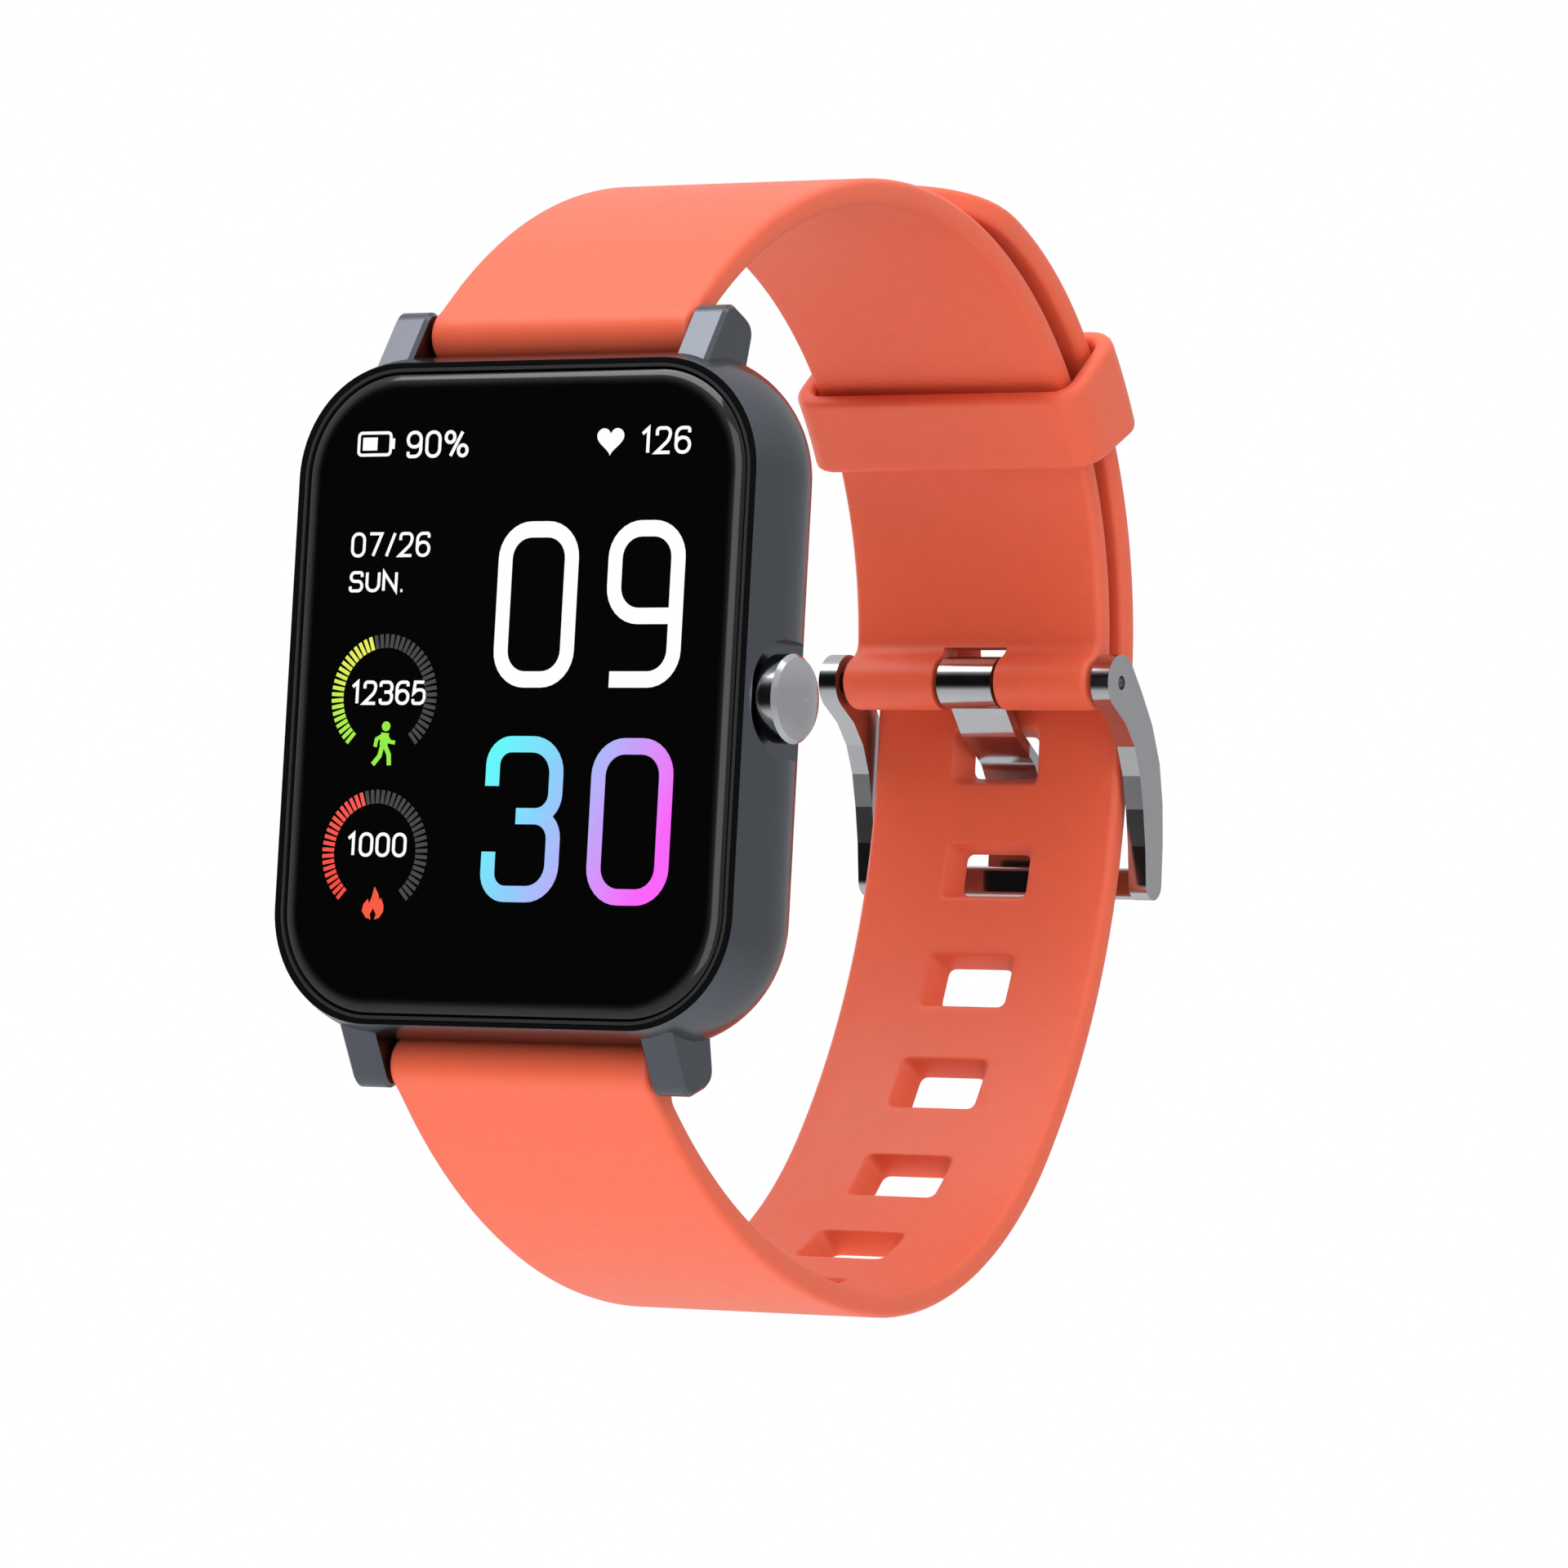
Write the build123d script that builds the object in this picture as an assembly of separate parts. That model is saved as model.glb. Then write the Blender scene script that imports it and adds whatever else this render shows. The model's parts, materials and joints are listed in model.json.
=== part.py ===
from build123d import *
import os
from math import cos, degrees, radians, sin

# Sport watch with a closed silicone strap, in millimetres.
# +Z points to 12 o'clock, the display faces -Y and the crown is on the +X side.
# The origin is the centre of the sensor window, on the face that lies on the wrist.

# ---- case, depths measured from the wrist face (y = 0) towards the display (y < 0) ----
GLASS_FRONT = -10.8
GLASS_BACK = -9.7
CASE_FRONT = -10.4
CASE_WIDEST = -6.4
CASE_BACK = -2.2
CASE_SECTIONS = (CASE_FRONT, -9.4, -7.9, CASE_WIDEST, -4.8, -3.4, CASE_BACK)
COVER_INNER = -2.6
COVER_OUTER = -1.2
ISLAND_FACE = -0.35
BEYOND = 1.0  # how far a cutter runs past the face that it opens

# Outlines are (half width in X, half height in Z, corner radius).
CASE = (18.4, 22.5, 8.3)
FRONT_INSET = 0.8
BACK_INSET = 1.6
GLASS = (16.9, 21.1, 7.0)
GLASS_EDGE_R = 0.75
GASKET = (17.15, 21.35, 7.25)
GLASS_SEAT = (17.2, 21.4, 7.3)
SEAL_INNER = (15.5, 19.7, 5.8)
CAVITY = (15.3, 19.5, 5.6)
COVER_SEAT = (16.15, 20.35, 6.4)
COVER = (16.05, 20.25, 6.3)
BACK_GASKET = (16.0, 20.2, 6.2)
GLUE_THICK = 0.2

# ---- lugs, outline in (Y, Z) at the 12 o'clock end ----
LUG_OUTLINE = ((-10.2, 20.3), (-6.9, 25.9), (-3.6, 24.6), (-4.6, 20.3))
LUG_ROUND = 1.2
LUG_CHAMFER = 0.25
LUG_INNER_X = 10.2
LUG_WIDTH = 2.6

# ---- display stack and electronics ----
TOUCH_BACK = -9.5
PANEL_BACK = -8.5
LIGHT_BACK = -7.9
TRAY_FRONT = -7.8
TRAY_FLOOR = -7.2
BOARD_FRONT = -6.6
BOARD_BACK = -6.0
TRAY_BACK = -2.95
STACK_Z = -0.15
TOUCH = (14.9, 18.45, 4.0)
PANEL = (14.4, 18.3, 3.2)
LIGHT_GUIDE = (14.4, 18.0, 3.2)
TRAY = (15.1, 19.3, 5.4)
TRAY_INSIDE = (14.3, 18.5, 4.6)
BOARD = (14.1, 18.3, 4.4)
BOARD_LOWEST_Z = 3.0
BOARD_SCREWS = ((-12.2, 5.0), (12.2, 7.0), (0.0, 16.8))
BOARD_SCREW_R = 0.42
BOARD_SCREW_HOLE_R = 0.55
BOARD_SCREW_BOSS_R = 1.2
# Chips are (x, z, width, height, thickness).
PROCESSOR = (-5.0, 9.6, 6.0, 6.0, 0.8)
GPS_RECEIVER = (5.2, 12.2, 5.0, 5.0, 0.9)
SMALL_CHIPS = ((5.0, 6.2, 3.0, 3.0, 0.8), (9.6, 10.6, 2.0, 2.0, 0.8), (-11.4, 9.0, 2.4, 3.2, 0.8),
               (9.0, 15.8, 3.2, 1.2, 0.8))
CONNECTORS = ((-10.6, 13.8, 3.0, 2.0, 1.0), (-4.5, 4.3, 6.0, 1.6, 1.0), (0.8, 9.2, 1.6, 3.4, 1.0))
SHIELD_LOW = (-9.0, -6.0, 5.8)
SHIELD_HIGH = (-1.0, -4.85, 13.4)
SHIELD_WALL = 0.15
FLEX_X = (-6.5, 2.5)
FLEX_THICK = 0.12
FLEX_FOLD_Z = -18.95
FLEX_UNDER_Z = -18.45
FLEX_END_Z = -15.2
FLEX_BACK_Y = -6.95
FLEX_FRONT_Y = -9.3
BATTERY_LOW = (-13.6, -7.1, -14.6)
BATTERY_HIGH = (5.4, -3.2, 2.2)
TAB_X = (-12.0, -8.0)
TAB_REACH = 0.7
ANTENNA_LOW = (-8.0, -7.0, 19.33)
ANTENNA_HIGH = (8.0, -3.4, 19.45)

# ---- strap, a loop in the YZ plane made of tangent arcs ----
STRAP_WIDTH = 20.0
STRAP_THICK = 1.8
BAR_Y = -5.6
BAR_Z = 24.0
LUG_TUBE_R = 1.9
LUG_TUBE_GAP = 0.4
LOOP_Y = 21.3
BACK_ARC_Z = 7.6
UPPER_BACK_R = 29.3
UPPER_FRONT_R = 37.0
LAYER_STEP = 3.5
LOWER_FRONT_Y = 24.0
LOWER_FRONT_Z = 3.2
LOWER_FRONT_R = 41.1
LOWER_TURN_R = 26.1
LOWER_TURN_ANGLE = 55.0
TAIL_R = 26.0
TAIL_FROM = 43.0
TAIL_TO = 87.0
TAIL_CORNER_R = 7.0

HOLE_COUNT = 11
HOLE_PITCH = 8.4
HOLES_ABOVE_TANG = 4
TANG_HOLE_Z = 1.9
HOLE_INSIDE = (7.2, 4.2)
HOLE_OUTSIDE = (4.9, 2.8)
HOLE_INSIDE_R = 0.6
HOLE_OUTSIDE_R = 0.5

# ---- buckle ----
BUCKLE_Y = 49.8
BUCKLE_Z = 6.8
BUCKLE_TUBE_R = 2.0
BUCKLE_SLOT_TOP = 2.5
ARM_INNER_X = 10.4
ARM_THICK = 1.4
ARM_STATIONS = ((BUCKLE_Y, BUCKLE_Z, 2.0), (51.7, 5.3, 1.62), (53.4, 3.4, 1.5), (54.6, 1.1, 1.5),
                (55.3, -1.4, 1.45), (55.75, -4.1, 1.3), (56.0, -6.9, 1.15))  # (y, z, radius)
CROSSBAR_AT = (56.1, -6.9)
CROSSBAR_SIZE = (1.2, 2.2)
CROSSBAR_R = 0.4
TANG_WIDTH = 4.4
TANG_THICK = 0.8
TANG_GAP = 0.35
TANG_ROLL_R = 1.85
TANG_ROUTE = ((50.35, 5.6), (52.2, 3.6), (55.3, 1.8), (57.2, -0.8), (57.2, -8.3))
TANG_BEND_R = 1.3
KEEPER_ANGLE = 36.5
KEEPER_HALF_ANGLE = 6.2
KEEPER_WALL = 1.3
KEEPER_ROUND = 0.9
KEEPER_GAP_INNER = 0.3
KEEPER_GAP_OUTER = 0.45
KEEPER_GAP_SIDE = 0.35

# ---- spring bars ----
BAR_R = 0.75
BAR_BORE_R = 0.5
BAR_HALF_LENGTH = 8.8
TIP_R = 0.45
TIP_ROOT_X = 7.2
TIP_REACH = 11.2
RUNNING_GAP = 0.05
BAR_COIL_R = 0.35
BAR_WIRE_R = 0.125
BAR_COIL_TURNS = 16
BAR_COIL_HALF_LENGTH = 7.15
LEVER_X = -7.75
LEVER_STALK_R = 0.32
LEVER_STALK = 1.7
LEVER_HEAD_R = 0.6
LEVER_HEAD = 0.6
LEVER_HEAD_Y = 2.0
LEVER_SLOT_X = (-8.3, -6.1)
LEVER_NOTCH_X = (-9.0, -5.6)

# ---- crown ----
CROWN_Y = -6.7
CROWN_R = 2.9
CROWN_SEAT_X = 17.3
CROWN_BACK_X = 17.75
CROWN_RIM_X = 19.35
CROWN_TOP_X = 19.95
CROWN_HOLLOW_R = 2.1
CROWN_HOLLOW_X = 18.7
CROWN_RECESS = (6.3, 7.6, 3.1)  # size in Y, size in Z, corner radius
STEM_R = 0.75
STEM_END_X = 14.2
GROOVE_R = 0.45
CLIP_GROOVE = (14.55, 14.9)
SEAL_GROOVE = (16.25, 16.85)
SEAL_BORE_R = 0.98
SEAL_BORE_X = 15.9
SEAL_MEAN_R = 0.7
SEAL_WIRE_R = 0.24
CLIP_R = 1.0
CLIP_THICK = 0.25
CLIP_MOUTH = 0.7
WASHER_R = 1.3
CROWN_COIL_R = 1.5
CROWN_WIRE_R = 0.14
CROWN_COIL_TURNS = 3
SWITCH_LOW = (11.8, -7.75, -1.7)
SWITCH_HIGH = (13.6, -5.45, 1.7)
SWITCH_BOARD_LOW = (11.3, -7.75, -2.2)
SWITCH_BOARD_HIGH = (11.8, -4.6, 2.2)
PLUNGER_R = 0.55
PLUNGER_ROOT_X = 13.1

# ---- back ----
SCREW_X = 12.9
SCREW_Z = 17.1
SCREW_R = 0.68
SCREW_HEAD_R = 1.2
SCREW_HEAD_FRONT = -1.85
SCREW_HEAD_BACK = -1.3
POST_R = 1.6
POST_BORE_R = 0.72
ISLAND_R = 11.2
ISLAND_CHAMFER = 0.45
WINDOW_R = 6.1
WINDOW_FLANGE_R = 7.3
WINDOW_LEDGE = -1.3
SENSOR_POCKET_R = 7.8
SENSOR_POCKET_Y = -1.7
SENSOR_BOARD_BACK = -2.2
CONTACT_Z = -9.0
CONTACT_PITCH = 4.0
CONTACT_R = 0.9
MAGNET_X = 6.6
MAGNET_Z = -10.2
MAGNET_R = 1.5

# ---- vibration motor ----
MOTOR_X = 10.1
MOTOR_Z = -10.8
MOTOR_R = 4.0
MOTOR_WALL = 0.25
MOTOR_FRONT = -7.1
MOTOR_BACK = -4.4
MOTOR_PIN_R = 0.4
ROTOR_R = 3.5


def facing(y):
    """Plane at depth y, seen from the display side: local x is +X, local y is +Z."""
    return Plane(origin=(0, y, 0), x_dir=(1, 0, 0), z_dir=(0, -1, 0))


def slab(outline, front, back):
    """Outline drawn from the front, given thickness between two depths."""
    return extrude(facing(back) * outline, amount=back - front)


def pillow(half_x, half_z, corner):
    return RectangleRounded(2 * half_x, 2 * half_z, corner)


def disc(x, z, radius, front, back):
    return slab(Pos(x, z) * Circle(radius), front, back)


def block(low, high):
    size = [b - a for a, b in zip(low, high)]
    centre = [(a + b) / 2 for a, b in zip(low, high)]
    return Pos(*centre) * Box(*size)


def rod(y, z, radius, start_x, end_x):
    """Round bar along X."""
    plane = Plane(origin=(start_x, y, z), x_dir=(0, 1, 0), z_dir=(1, 0, 0))
    return extrude(plane * Circle(radius), amount=end_x - start_x)


def side_profile(face, half_width):
    """Face drawn in (Y, Z), given equal width to both sides of x = 0."""
    return extrude(Plane.YZ * face, amount=half_width, both=True)


def both_sides(shape):
    """The shape and its mirror image across x = 0."""
    return shape + mirror(shape, about=Plane.YZ)


def corners(x, z):
    """The four places (±x, ±z)."""
    return [(i * x, j * z) for i in (1, -1) for j in (1, -1)]


def joined(shapes):
    """Several separate shapes as one sub-part."""
    first, *others = shapes
    for shape in others:
        first += shape
    return first


# ------------------------------------------------------------------ case

def case_section(y):
    """Case outline at depth y: widest at CASE_WIDEST and drawn in towards both faces."""
    end, inset = (CASE_FRONT, FRONT_INSET) if y < CASE_WIDEST else (CASE_BACK, BACK_INSET)
    inset *= ((y - CASE_WIDEST) / (end - CASE_WIDEST)) ** 2
    return facing(y) * pillow(*[size - inset for size in CASE])


def lug(side, end):
    """One prong that carries a spring bar; side is the sign of X and end the sign of Z."""
    face = make_face(Polyline(*LUG_OUTLINE, close=True))
    face = fillet(face.vertices().sort_by(Axis.Y)[-2:], LUG_ROUND)
    prong = Pos(LUG_INNER_X, 0, 0) * extrude(Plane.YZ * face, amount=LUG_WIDTH)
    flanks = prong.faces().sort_by(Axis.X)
    prong = chamfer(flanks[0].edges() + flanks[-1].edges(), LUG_CHAMFER)
    prong -= rod(BAR_Y, BAR_Z, TIP_R + RUNNING_GAP, LUG_INNER_X - BEYOND, TIP_REACH + 0.1)
    if side < 0:
        prong = mirror(prong, about=Plane.YZ)
    return mirror(prong, about=Plane.XY) if end < 0 else prong


def crown_recess():
    """Seat round the crown, open towards the back so that it notches the case side."""
    plane = Plane(origin=(CROWN_SEAT_X, CROWN_Y, 0), x_dir=(0, 1, 0), z_dir=(1, 0, 0))
    depth, width, corner = CROWN_RECESS
    opening = RectangleRounded(*CROWN_RECESS) + Pos(depth / 2, 0) * Rectangle(depth, width)
    return extrude(plane * opening, amount=4)


def case_body():
    body = loft([case_section(y) for y in CASE_SECTIONS])
    for side, end in corners(1, 1):
        body += lug(side, end)
    body -= slab(pillow(*GLASS_SEAT), CASE_FRONT - BEYOND, GLASS_BACK + GLUE_THICK + RUNNING_GAP)
    body -= slab(pillow(*CAVITY), CASE_FRONT, CASE_BACK + BEYOND)
    body -= slab(pillow(*COVER_SEAT), COVER_INNER - 0.3, CASE_BACK + BEYOND)
    body -= crown_recess()
    body -= rod(CROWN_Y, 0, STEM_R + RUNNING_GAP, CAVITY[0] - BEYOND, CROWN_SEAT_X + BEYOND)
    body -= rod(CROWN_Y, 0, SEAL_BORE_R, SEAL_BORE_X, CROWN_SEAT_X + BEYOND)
    for end in (1, -1):
        body -= rod(BAR_Y, end * BAR_Z, LUG_TUBE_R + LUG_TUBE_GAP, -LUG_INNER_X, LUG_INNER_X)
    for x, z in corners(SCREW_X, SCREW_Z):
        body += disc(x, z, POST_R, BOARD_FRONT, TRAY_BACK) - disc(x, z, POST_BORE_R, BOARD_BACK, CASE_BACK)
    return body


# ------------------------------------------------------------------ display

def cover_glass():
    glass = slab(pillow(*GLASS), GLASS_FRONT, GLASS_BACK)
    return fillet(glass.faces().sort_by(Axis.Y)[0].edges(), GLASS_EDGE_R)


def glass_gasket():
    """Black seal: a lip round the glass and a flat adhesive ring under it."""
    slack = 0.02
    round_glass = pillow(GLASS[0] + slack, GLASS[1] + slack, GLASS[2])
    lip = slab(pillow(*GASKET) - round_glass, CASE_FRONT, GLASS_BACK)
    return lip + slab(pillow(*GASKET) - pillow(*SEAL_INNER), GLASS_BACK, GLASS_BACK + GLUE_THICK)


def touch_sensor():
    return slab(Pos(0, STACK_Z) * pillow(*TOUCH), GLASS_BACK, TOUCH_BACK)


def display_panel():
    return slab(Pos(0, STACK_Z) * pillow(*PANEL), TOUCH_BACK, PANEL_BACK)


def backlight():
    return slab(Pos(0, STACK_Z) * pillow(*LIGHT_GUIDE), PANEL_BACK, LIGHT_BACK)


def display_flex():
    """Ribbon from the foot of the panel, folded behind it and led up to the board."""
    left, right = FLEX_X
    foot = block((left, FLEX_FRONT_Y, FLEX_FOLD_Z), (right, FLEX_FRONT_Y + FLEX_THICK, FLEX_UNDER_Z))
    drop = block((left, FLEX_FRONT_Y, FLEX_FOLD_Z), (right, FLEX_BACK_Y, FLEX_FOLD_Z + FLEX_THICK))
    run = block((left, FLEX_BACK_Y - FLEX_THICK, FLEX_FOLD_Z), (right, FLEX_BACK_Y, FLEX_END_Z))
    return foot + drop + run


# ------------------------------------------------------------------ inside the case

def inner_frame():
    """Plastic tray that carries the battery and the board; its floor backs the display."""
    tray = slab(pillow(*TRAY), TRAY_FRONT, TRAY_BACK)
    tray -= slab(pillow(*TRAY_INSIDE), TRAY_FLOOR, TRAY_BACK + BEYOND)
    for x, z in corners(SCREW_X, SCREW_Z):
        tray -= disc(x, z, POST_R + 0.25, TRAY_FRONT - BEYOND, TRAY_BACK + BEYOND)
    switch_gap_x, switch_gap_z = 0.7, 0.3
    half = SWITCH_BOARD_HIGH[2] + switch_gap_z
    tray -= block((SWITCH_BOARD_LOW[0] - switch_gap_x, TRAY_FRONT - BEYOND, -half), (TRAY[0] + BEYOND, -5.2, half))
    tray -= block((FLEX_X[0] - 0.3, TRAY_FRONT - BEYOND, FLEX_FOLD_Z - 0.25),
                  (FLEX_X[1] + 0.3, BOARD_FRONT, FLEX_UNDER_Z + 0.25))
    for x, z in BOARD_SCREWS:
        tray += disc(x, z, BOARD_SCREW_BOSS_R, TRAY_FLOOR, BOARD_FRONT)
        tray -= disc(x, z, BOARD_SCREW_R + 0.08, TRAY_FRONT - BEYOND, BOARD_BACK)
    return tray


def main_board():
    """Board across the top half of the case, cut away round the cover's screw posts."""
    height = 16.0
    outline = pillow(*BOARD) & Pos(0, BOARD_LOWEST_Z + height / 2) * Rectangle(40, height)
    board = slab(outline, BOARD_FRONT, BOARD_BACK)
    for x in (SCREW_X, -SCREW_X):
        board -= disc(x, SCREW_Z, POST_R + 0.5, BOARD_FRONT - BEYOND, BOARD_BACK + BEYOND)
    for x, z in BOARD_SCREWS:
        board -= disc(x, z, BOARD_SCREW_HOLE_R, BOARD_FRONT - BEYOND, BOARD_BACK + BEYOND)
    return board


def chip(x, z, width, height, thick):
    return slab(Pos(x, z) * Rectangle(width, height), BOARD_BACK, BOARD_BACK + thick)


def main_processor():
    return chip(*PROCESSOR)


def gps_receiver():
    return chip(*GPS_RECEIVER)


def board_chips():
    """Memory, power controller, motion sensor and the small ceramic radio antenna."""
    return joined([chip(*place) for place in SMALL_CHIPS])


def board_connectors():
    return joined([chip(*place) for place in CONNECTORS])


def board_shield():
    """Folded metal lid over the processor."""
    (x0, y0, z0), (x1, y1, z1), wall = SHIELD_LOW, SHIELD_HIGH, SHIELD_WALL
    inside = block((x0 + wall, y0 - BEYOND, z0 + wall), (x1 - wall, y1 - wall, z1 - wall))
    return block(SHIELD_LOW, SHIELD_HIGH) - inside


def slotted_screw(x, z, head_r, shank_r, tip_y, seat_y, top_y, slot_half):
    """Flat-headed screw along Y with a straight driver slot."""
    slot_width, slot_depth = 0.2, 0.2
    screw = disc(x, z, head_r, seat_y, top_y) + disc(x, z, shank_r, tip_y, seat_y)
    return screw - block((x - slot_half, top_y - slot_depth, z - slot_width / 2),
                         (x + slot_half, top_y + BEYOND, z + slot_width / 2))


def board_screws():
    return joined([slotted_screw(x, z, 0.95, BOARD_SCREW_R, -7.5, BOARD_BACK, -5.5, 0.6)
                   for x, z in BOARD_SCREWS])


def gps_antenna():
    """Thin conductor on the top wall of the tray."""
    return block(ANTENNA_LOW, ANTENNA_HIGH)


def battery():
    cell = block(BATTERY_LOW, BATTERY_HIGH)
    return fillet(cell.edges().filter_by(Axis.Z), 0.8)


def battery_tab():
    """Terminal strip from the cell to the board's edge."""
    (left, right), top, back = TAB_X, BATTERY_HIGH[2], -5.4
    strip = block((left, back - GLUE_THICK, top), (right, back, top + TAB_REACH))
    return strip + block((left, BOARD_BACK, top + TAB_REACH - GLUE_THICK), (right, back, top + TAB_REACH))


def motor_can():
    """Coin vibration motor housing with its fixed centre pin."""
    inner_front, inner_back = MOTOR_FRONT + MOTOR_WALL, MOTOR_BACK - MOTOR_WALL
    can = disc(MOTOR_X, MOTOR_Z, MOTOR_R, MOTOR_FRONT, MOTOR_BACK)
    can -= disc(MOTOR_X, MOTOR_Z, MOTOR_R - MOTOR_WALL, inner_front, inner_back)
    return can + disc(MOTOR_X, MOTOR_Z, MOTOR_PIN_R, inner_front, inner_back)


def motor_rotor():
    """Half-round weight that runs on the centre pin."""
    hub = disc(MOTOR_X, MOTOR_Z, 1.1, -6.6, -4.9)
    half = Circle(ROTOR_R) & Pos(0, ROTOR_R / 2) * Rectangle(2 * ROTOR_R, ROTOR_R)
    weight = slab(Pos(MOTOR_X, MOTOR_Z) * half, -6.3, -5.1)
    return hub + weight - disc(MOTOR_X, MOTOR_Z, MOTOR_PIN_R + RUNNING_GAP, MOTOR_FRONT, MOTOR_BACK)


# ------------------------------------------------------------------ crown

def crown_head():
    """Domed push button on a stem, hollow underneath for its spring."""
    outline = [(STEM_END_X, 0), (STEM_END_X, STEM_R)]
    for start, end in (CLIP_GROOVE, SEAL_GROOVE):
        outline += [(start, STEM_R), (start, GROOVE_R), (end, GROOVE_R), (end, STEM_R)]
    outline += [(CROWN_HOLLOW_X, STEM_R), (CROWN_HOLLOW_X, CROWN_HOLLOW_R), (CROWN_BACK_X, CROWN_HOLLOW_R),
                (CROWN_BACK_X, CROWN_R - 0.2), (CROWN_BACK_X + 0.2, CROWN_R), (CROWN_RIM_X - 0.3, CROWN_R),
                (CROWN_RIM_X, CROWN_R - 0.25)]
    profile = Polyline(*outline)
    dome = TangentArc((CROWN_TOP_X, 0), profile @ 1, tangent=(0, 1))
    face = make_face([profile, dome, Line(dome @ 0, profile @ 0)])
    return Pos(0, CROWN_Y, 0) * revolve(face, axis=Axis.X)


def crown_seal():
    middle = (SEAL_GROOVE[0] + SEAL_GROOVE[1]) / 2
    return Plane(origin=(middle, CROWN_Y, 0), z_dir=(1, 0, 0)) * Torus(SEAL_MEAN_R, SEAL_WIRE_R)


def crown_clip():
    """Retaining ring in the groove of the stem."""
    start = CLIP_GROOVE[0] + RUNNING_GAP
    ring = rod(CROWN_Y, 0, CLIP_R, start, start + CLIP_THICK)
    ring -= rod(CROWN_Y, 0, GROOVE_R + RUNNING_GAP, start - BEYOND, start + BEYOND)
    mouth = CLIP_MOUTH / 2
    return ring - block((start - BEYOND, CROWN_Y - mouth, -2 * CLIP_R), (start + BEYOND, CROWN_Y + mouth, 0))


def crown_washer():
    """Thrust washer between the clip and the case wall."""
    start = CLIP_GROOVE[1] + RUNNING_GAP
    washer = rod(CROWN_Y, 0, WASHER_R, start, start + CLIP_THICK)
    return washer - rod(CROWN_Y, 0, STEM_R + RUNNING_GAP, start - BEYOND, start + BEYOND)


def coil(start_x, end_x, y, z, mean_r, wire_r, turns):
    """Helical spring along X."""
    length = end_x - start_x - 2 * wire_r
    path = Helix(pitch=length / turns, height=length, radius=mean_r)
    wire = Plane(origin=path @ 0, z_dir=path % 0) * Circle(wire_r)
    spring = sweep(wire, path=path)
    return Pos(start_x + wire_r, y, z) * Rot(0, 90, 0) * spring


def crown_spring():
    end = CROWN_HOLLOW_X - 0.02
    return coil(CROWN_SEAT_X, end, CROWN_Y, 0, CROWN_COIL_R, CROWN_WIRE_R, CROWN_COIL_TURNS)


def crown_switch():
    """Body of the side push switch behind the crown."""
    socket = rod(CROWN_Y, 0, PLUNGER_R + RUNNING_GAP, PLUNGER_ROOT_X - 0.5, SWITCH_HIGH[0] + BEYOND)
    return block(SWITCH_LOW, SWITCH_HIGH) - socket


def switch_plunger():
    return rod(CROWN_Y, 0, PLUNGER_R, PLUNGER_ROOT_X, STEM_END_X - RUNNING_GAP)


def switch_board():
    return block(SWITCH_BOARD_LOW, SWITCH_BOARD_HIGH)


# ------------------------------------------------------------------ back

def back_cover():
    cover = slab(pillow(*COVER), COVER_INNER, COVER_OUTER)
    cover = fillet(cover.faces().sort_by(Axis.Y)[-1].edges(), 0.8)
    island = disc(0, 0, ISLAND_R, COVER_OUTER - 0.1, ISLAND_FACE)
    cover += chamfer(island.faces().sort_by(Axis.Y)[-1].edges(), ISLAND_CHAMFER)
    before = COVER_INNER - BEYOND
    cover -= disc(0, 0, SENSOR_POCKET_R, before, SENSOR_POCKET_Y)
    cover -= disc(0, 0, WINDOW_FLANGE_R + 0.1, before, WINDOW_LEDGE)
    cover -= disc(0, 0, WINDOW_R + RUNNING_GAP, before, BEYOND)
    for x in (CONTACT_PITCH / 2, -CONTACT_PITCH / 2):
        cover -= disc(x, CONTACT_Z, CONTACT_R + 0.02, before, BEYOND)
    for x in (MAGNET_X, -MAGNET_X):
        cover -= disc(x, MAGNET_Z, MAGNET_R + RUNNING_GAP, before, -1.6)
    for x, z in corners(SCREW_X, SCREW_Z):
        cover -= disc(x, z, SCREW_R + 0.12, before, BEYOND)
        cover -= disc(x, z, SCREW_HEAD_R + 0.1, SCREW_HEAD_FRONT, BEYOND)
    return cover


def back_gasket():
    return slab(pillow(*BACK_GASKET) - pillow(*SEAL_INNER), COVER_INNER - 0.3, COVER_INNER)


def back_screws():
    """Four M1.4 screws that hold the back cover."""
    return joined([slotted_screw(x, z, SCREW_HEAD_R, SCREW_R, -5.4, SCREW_HEAD_FRONT, SCREW_HEAD_BACK, 0.8)
                   for x, z in corners(SCREW_X, SCREW_Z)])


def sensor_window():
    window = disc(0, 0, WINDOW_R, -1.4, 0)
    window = fillet(window.faces().sort_by(Axis.Y)[-1].edges(), 0.3)
    return window + disc(0, 0, WINDOW_FLANGE_R, -1.65, -1.32)


def sensor_board():
    return disc(0, 0, SENSOR_POCKET_R - 0.2, COVER_INNER - 0.1, SENSOR_BOARD_BACK)


def sensor_leds():
    """Two green lamps and a red one beside the light sensor."""
    height = 0.45
    lamps = ((-2.8, 0.0, 1.6, 1.6), (2.8, 0.0, 1.6, 1.6), (0.0, 3.0, 1.4, 1.2))  # (x, z, width, height)
    return joined([slab(Pos(x, z) * Rectangle(w, h), SENSOR_BOARD_BACK, SENSOR_BOARD_BACK + height)
                   for x, z, w, h in lamps])


def photodiode():
    half, height = 1.2, 0.5
    return block((-half, SENSOR_BOARD_BACK, -half), (half, SENSOR_BOARD_BACK + height, half))


def sensor_flex():
    """Ribbon from the sensor board to the main board's side of the case."""
    half, front, start, end = 1.5, -2.9, 3.0, 12.0
    strip = block((-half, front, start), (half, front + FLEX_THICK, end))
    return strip + block((-half, -4.7, end - FLEX_THICK), (half, front + FLEX_THICK, end))


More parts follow.
